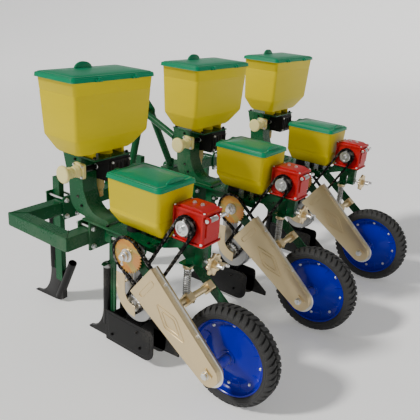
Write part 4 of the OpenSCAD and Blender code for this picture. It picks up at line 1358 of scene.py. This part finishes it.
class BuildWheels(PlanterOperator):
    """Builds the treaded tyres and the blue rims"""

    bl_idname = "planter.build_wheels"
    bl_label = "Press wheels"

    def execute(self, context):
        self.build_tyre(context.scene.planter_tyre)
        self.build_rim(context.scene.planter_tyre)
        return {"FINISHED"}

    def build_tyre(self, tyre):
        outside, half, bead = AXLE.z, 42, BEAD_RADIUS
        base = outside - tyre.lug_height
        centre = (WHEEL_X, AXLE.y, AXLE.z)
        sides = [(28, bead + 1), (35, bead + 4), (39, bead + 12), (40.6, bead + 20), (39.5, base - 9),
                 (36, base - 4), (28, base - 1), (14, base), (5, base), (3.5, base - 3)]
        profile = [(-x, r) for x, r in sides] + [(x, r) for x, r in reversed(sides)]
        hollow = [(26, bead + 4), (30, bead + 14), (24, base - 12)]
        hollow += [(-x, r) for x, r in reversed(hollow)]
        form = Form().turned(centre, X, profile + hollow, 120, joined=True)
        # raised circles on the sidewalls
        for side in (-1, 1):
            for radius, x in ((bead + 8, 37.6), (bead + 17, 40.4)):
                circle = arc((AXLE.y, AXLE.z), radius, 0, 360 - 360 / 96, 95)
                form.tube([(WHEEL_X + side * x, y, z) for y, z in circle], 1.0, 6, joined=True)
        pitch = 360 / tyre.lugs
        tops = ((4.5, outside - 0.6), (14, outside), (25, outside - 1.2), (33, outside - 4.4),
                (39, outside - 11), (half, outside - 19))
        for side in (-1, 1):
            for i in range(tyre.lugs):
                rings = []
                for x, top in tops:
                    turn = i * pitch + side * pitch / 4 + tyre.slant * (x - 4.5) / half
                    wide = pitch * (0.36 if x < 30 else 0.33)
                    low = top - tyre.lug_height - 1 if x < 36 else top - 5
                    corners = ((-wide, low), (-wide * 0.9, top - 0.8), (-wide * 0.78, top),
                               (wide * 0.78, top), (wide * 0.9, top - 0.8), (wide, low))
                    rings.append([(WHEEL_X + side * (x if r > low else x - (5 if x > 36 else 0)),
                                   AXLE.y + r * math.cos(math.radians(turn + da)),
                                   AXLE.z + r * math.sin(math.radians(turn + da))) for da, r in corners])
                form.skin(rings)
        add_to_rows("tyre_tread", form, "tyre_rubber", "wheel", ["press_tyre"])

    def build_rim(self, tyre):
        centre = (WHEEL_X, AXLE.y, AXLE.z)
        disc = [(-18, 26), (-25, 27), (-25, 36), (-22, 52), (-16, 70), (-7, 92), (0, 110), (2, 119), (1, 127),
                (-5, 136), (-12, 143), (-16, 146), (-29, 147), (-31, 149), (-31, 153), (-28, 153.5),
                (-26, 152.5), (-20, 150.5), (20, 150.5), (26, 152.5), (28, 153.5), (31, 153), (31, 149),
                (29, 147), (-6, 146.5), (-2, 142), (9, 130), (11.5, 120), (9, 111), (-14, 68), (-18, 58)]
        rim = Form().turned(centre, X, disc, 128, joined=True)
        # pressed ribs that cross the outer bend of the disc
        for i in range(tyre.bolts):
            a = math.radians((i + 0.5) * 360 / tyre.bolts)
            out = Vector((0, math.cos(a), math.sin(a)))
            path = [(-1, 100), (3.5, 110), (6, 120), (3, 130), (-5, 138)]
            rim.tube([Vector(centre) + X * x + out * r for x, r in path], [3, 6, 7, 6, 3], 12)
        for x0, x1 in ((-30, -12), (6, 40)):
            rim.turned(centre, X, [(x0, 30), (x0 + 2, 32), (x1 - 2, 32), (x1, 30)], 40)
        add_to_rows("rim_disc", rim, "blue_enamel", "wheel", ["press_rim"])
        metal = Form()
        for i in range(tyre.bolts):
            a = math.radians(i * 360 / tyre.bolts)
            at = Vector(centre) + Vector((0, math.cos(a), math.sin(a))) * 126
            metal.turned(at + X * 2, -X, [(0, 8), (2, 7.6), (5, 5.4), (6.8, 2)], 20)
            metal.bolt(at + X * 9, X, 9, 4)
        metal.rod((-126, *centre[1:]), (58, *centre[1:]), 20)
        metal.turned(centre, X, [(40, 28), (44, 28), (46, 24)], 32)
        sprocket(metal, DRIVE_PLANE, WHEEL_TEETH, AXLE, bpy.context.scene.planter_chains)
        add_to_rows("wheel_hub", metal, "bright_zinc", "wheel")


# ---------- add-on ----------
OPERATORS = (BuildStage, BuildFrame, BuildRowFrames, BuildHoppers, BuildLids, BuildDosing, BuildDrive,
             BuildGearboxes, BuildOpeners, BuildArms, BuildWheels)
GROUPS = {"planter_colours": PlanterColours, "planter_boxes": PlanterBoxes, "planter_tyre": PlanterTyre,
          "planter_chains": PlanterChains, "planter_stage": PlanterStage}


class PlanterPanel(bpy.types.Panel):
    """Lists the planter's sizes, colours and building steps"""

    bl_idname = "VIEW3D_PT_planter"
    bl_label = "Corn Planter"
    bl_space_type = "VIEW_3D"
    bl_region_type = "UI"
    bl_category = "Planter"

    def draw(self, context):
        for name, group in GROUPS.items():
            section = self.layout.box()
            for key in group.__annotations__:
                section.prop(getattr(context.scene, name), key)
        for operator in OPERATORS:
            self.layout.operator(operator.bl_idname)


def register():
    for group in GROUPS.values():
        bpy.utils.register_class(group)
    for operator in OPERATORS:
        bpy.utils.register_class(operator)
    bpy.utils.register_class(PlanterPanel)
    for name, group in GROUPS.items():
        setattr(bpy.types.Scene, name, PointerProperty(type=group))


def unregister():
    for name in GROUPS:
        delattr(bpy.types.Scene, name)
    bpy.utils.unregister_class(PlanterPanel)
    for cls in (*reversed(OPERATORS), *reversed(list(GROUPS.values()))):
        bpy.utils.unregister_class(cls)


def main():
    register()
    for operator in OPERATORS:
        group, name = operator.bl_idname.split(".")
        getattr(getattr(bpy.ops, group), name)()


if __name__ == "__main__":
    main()
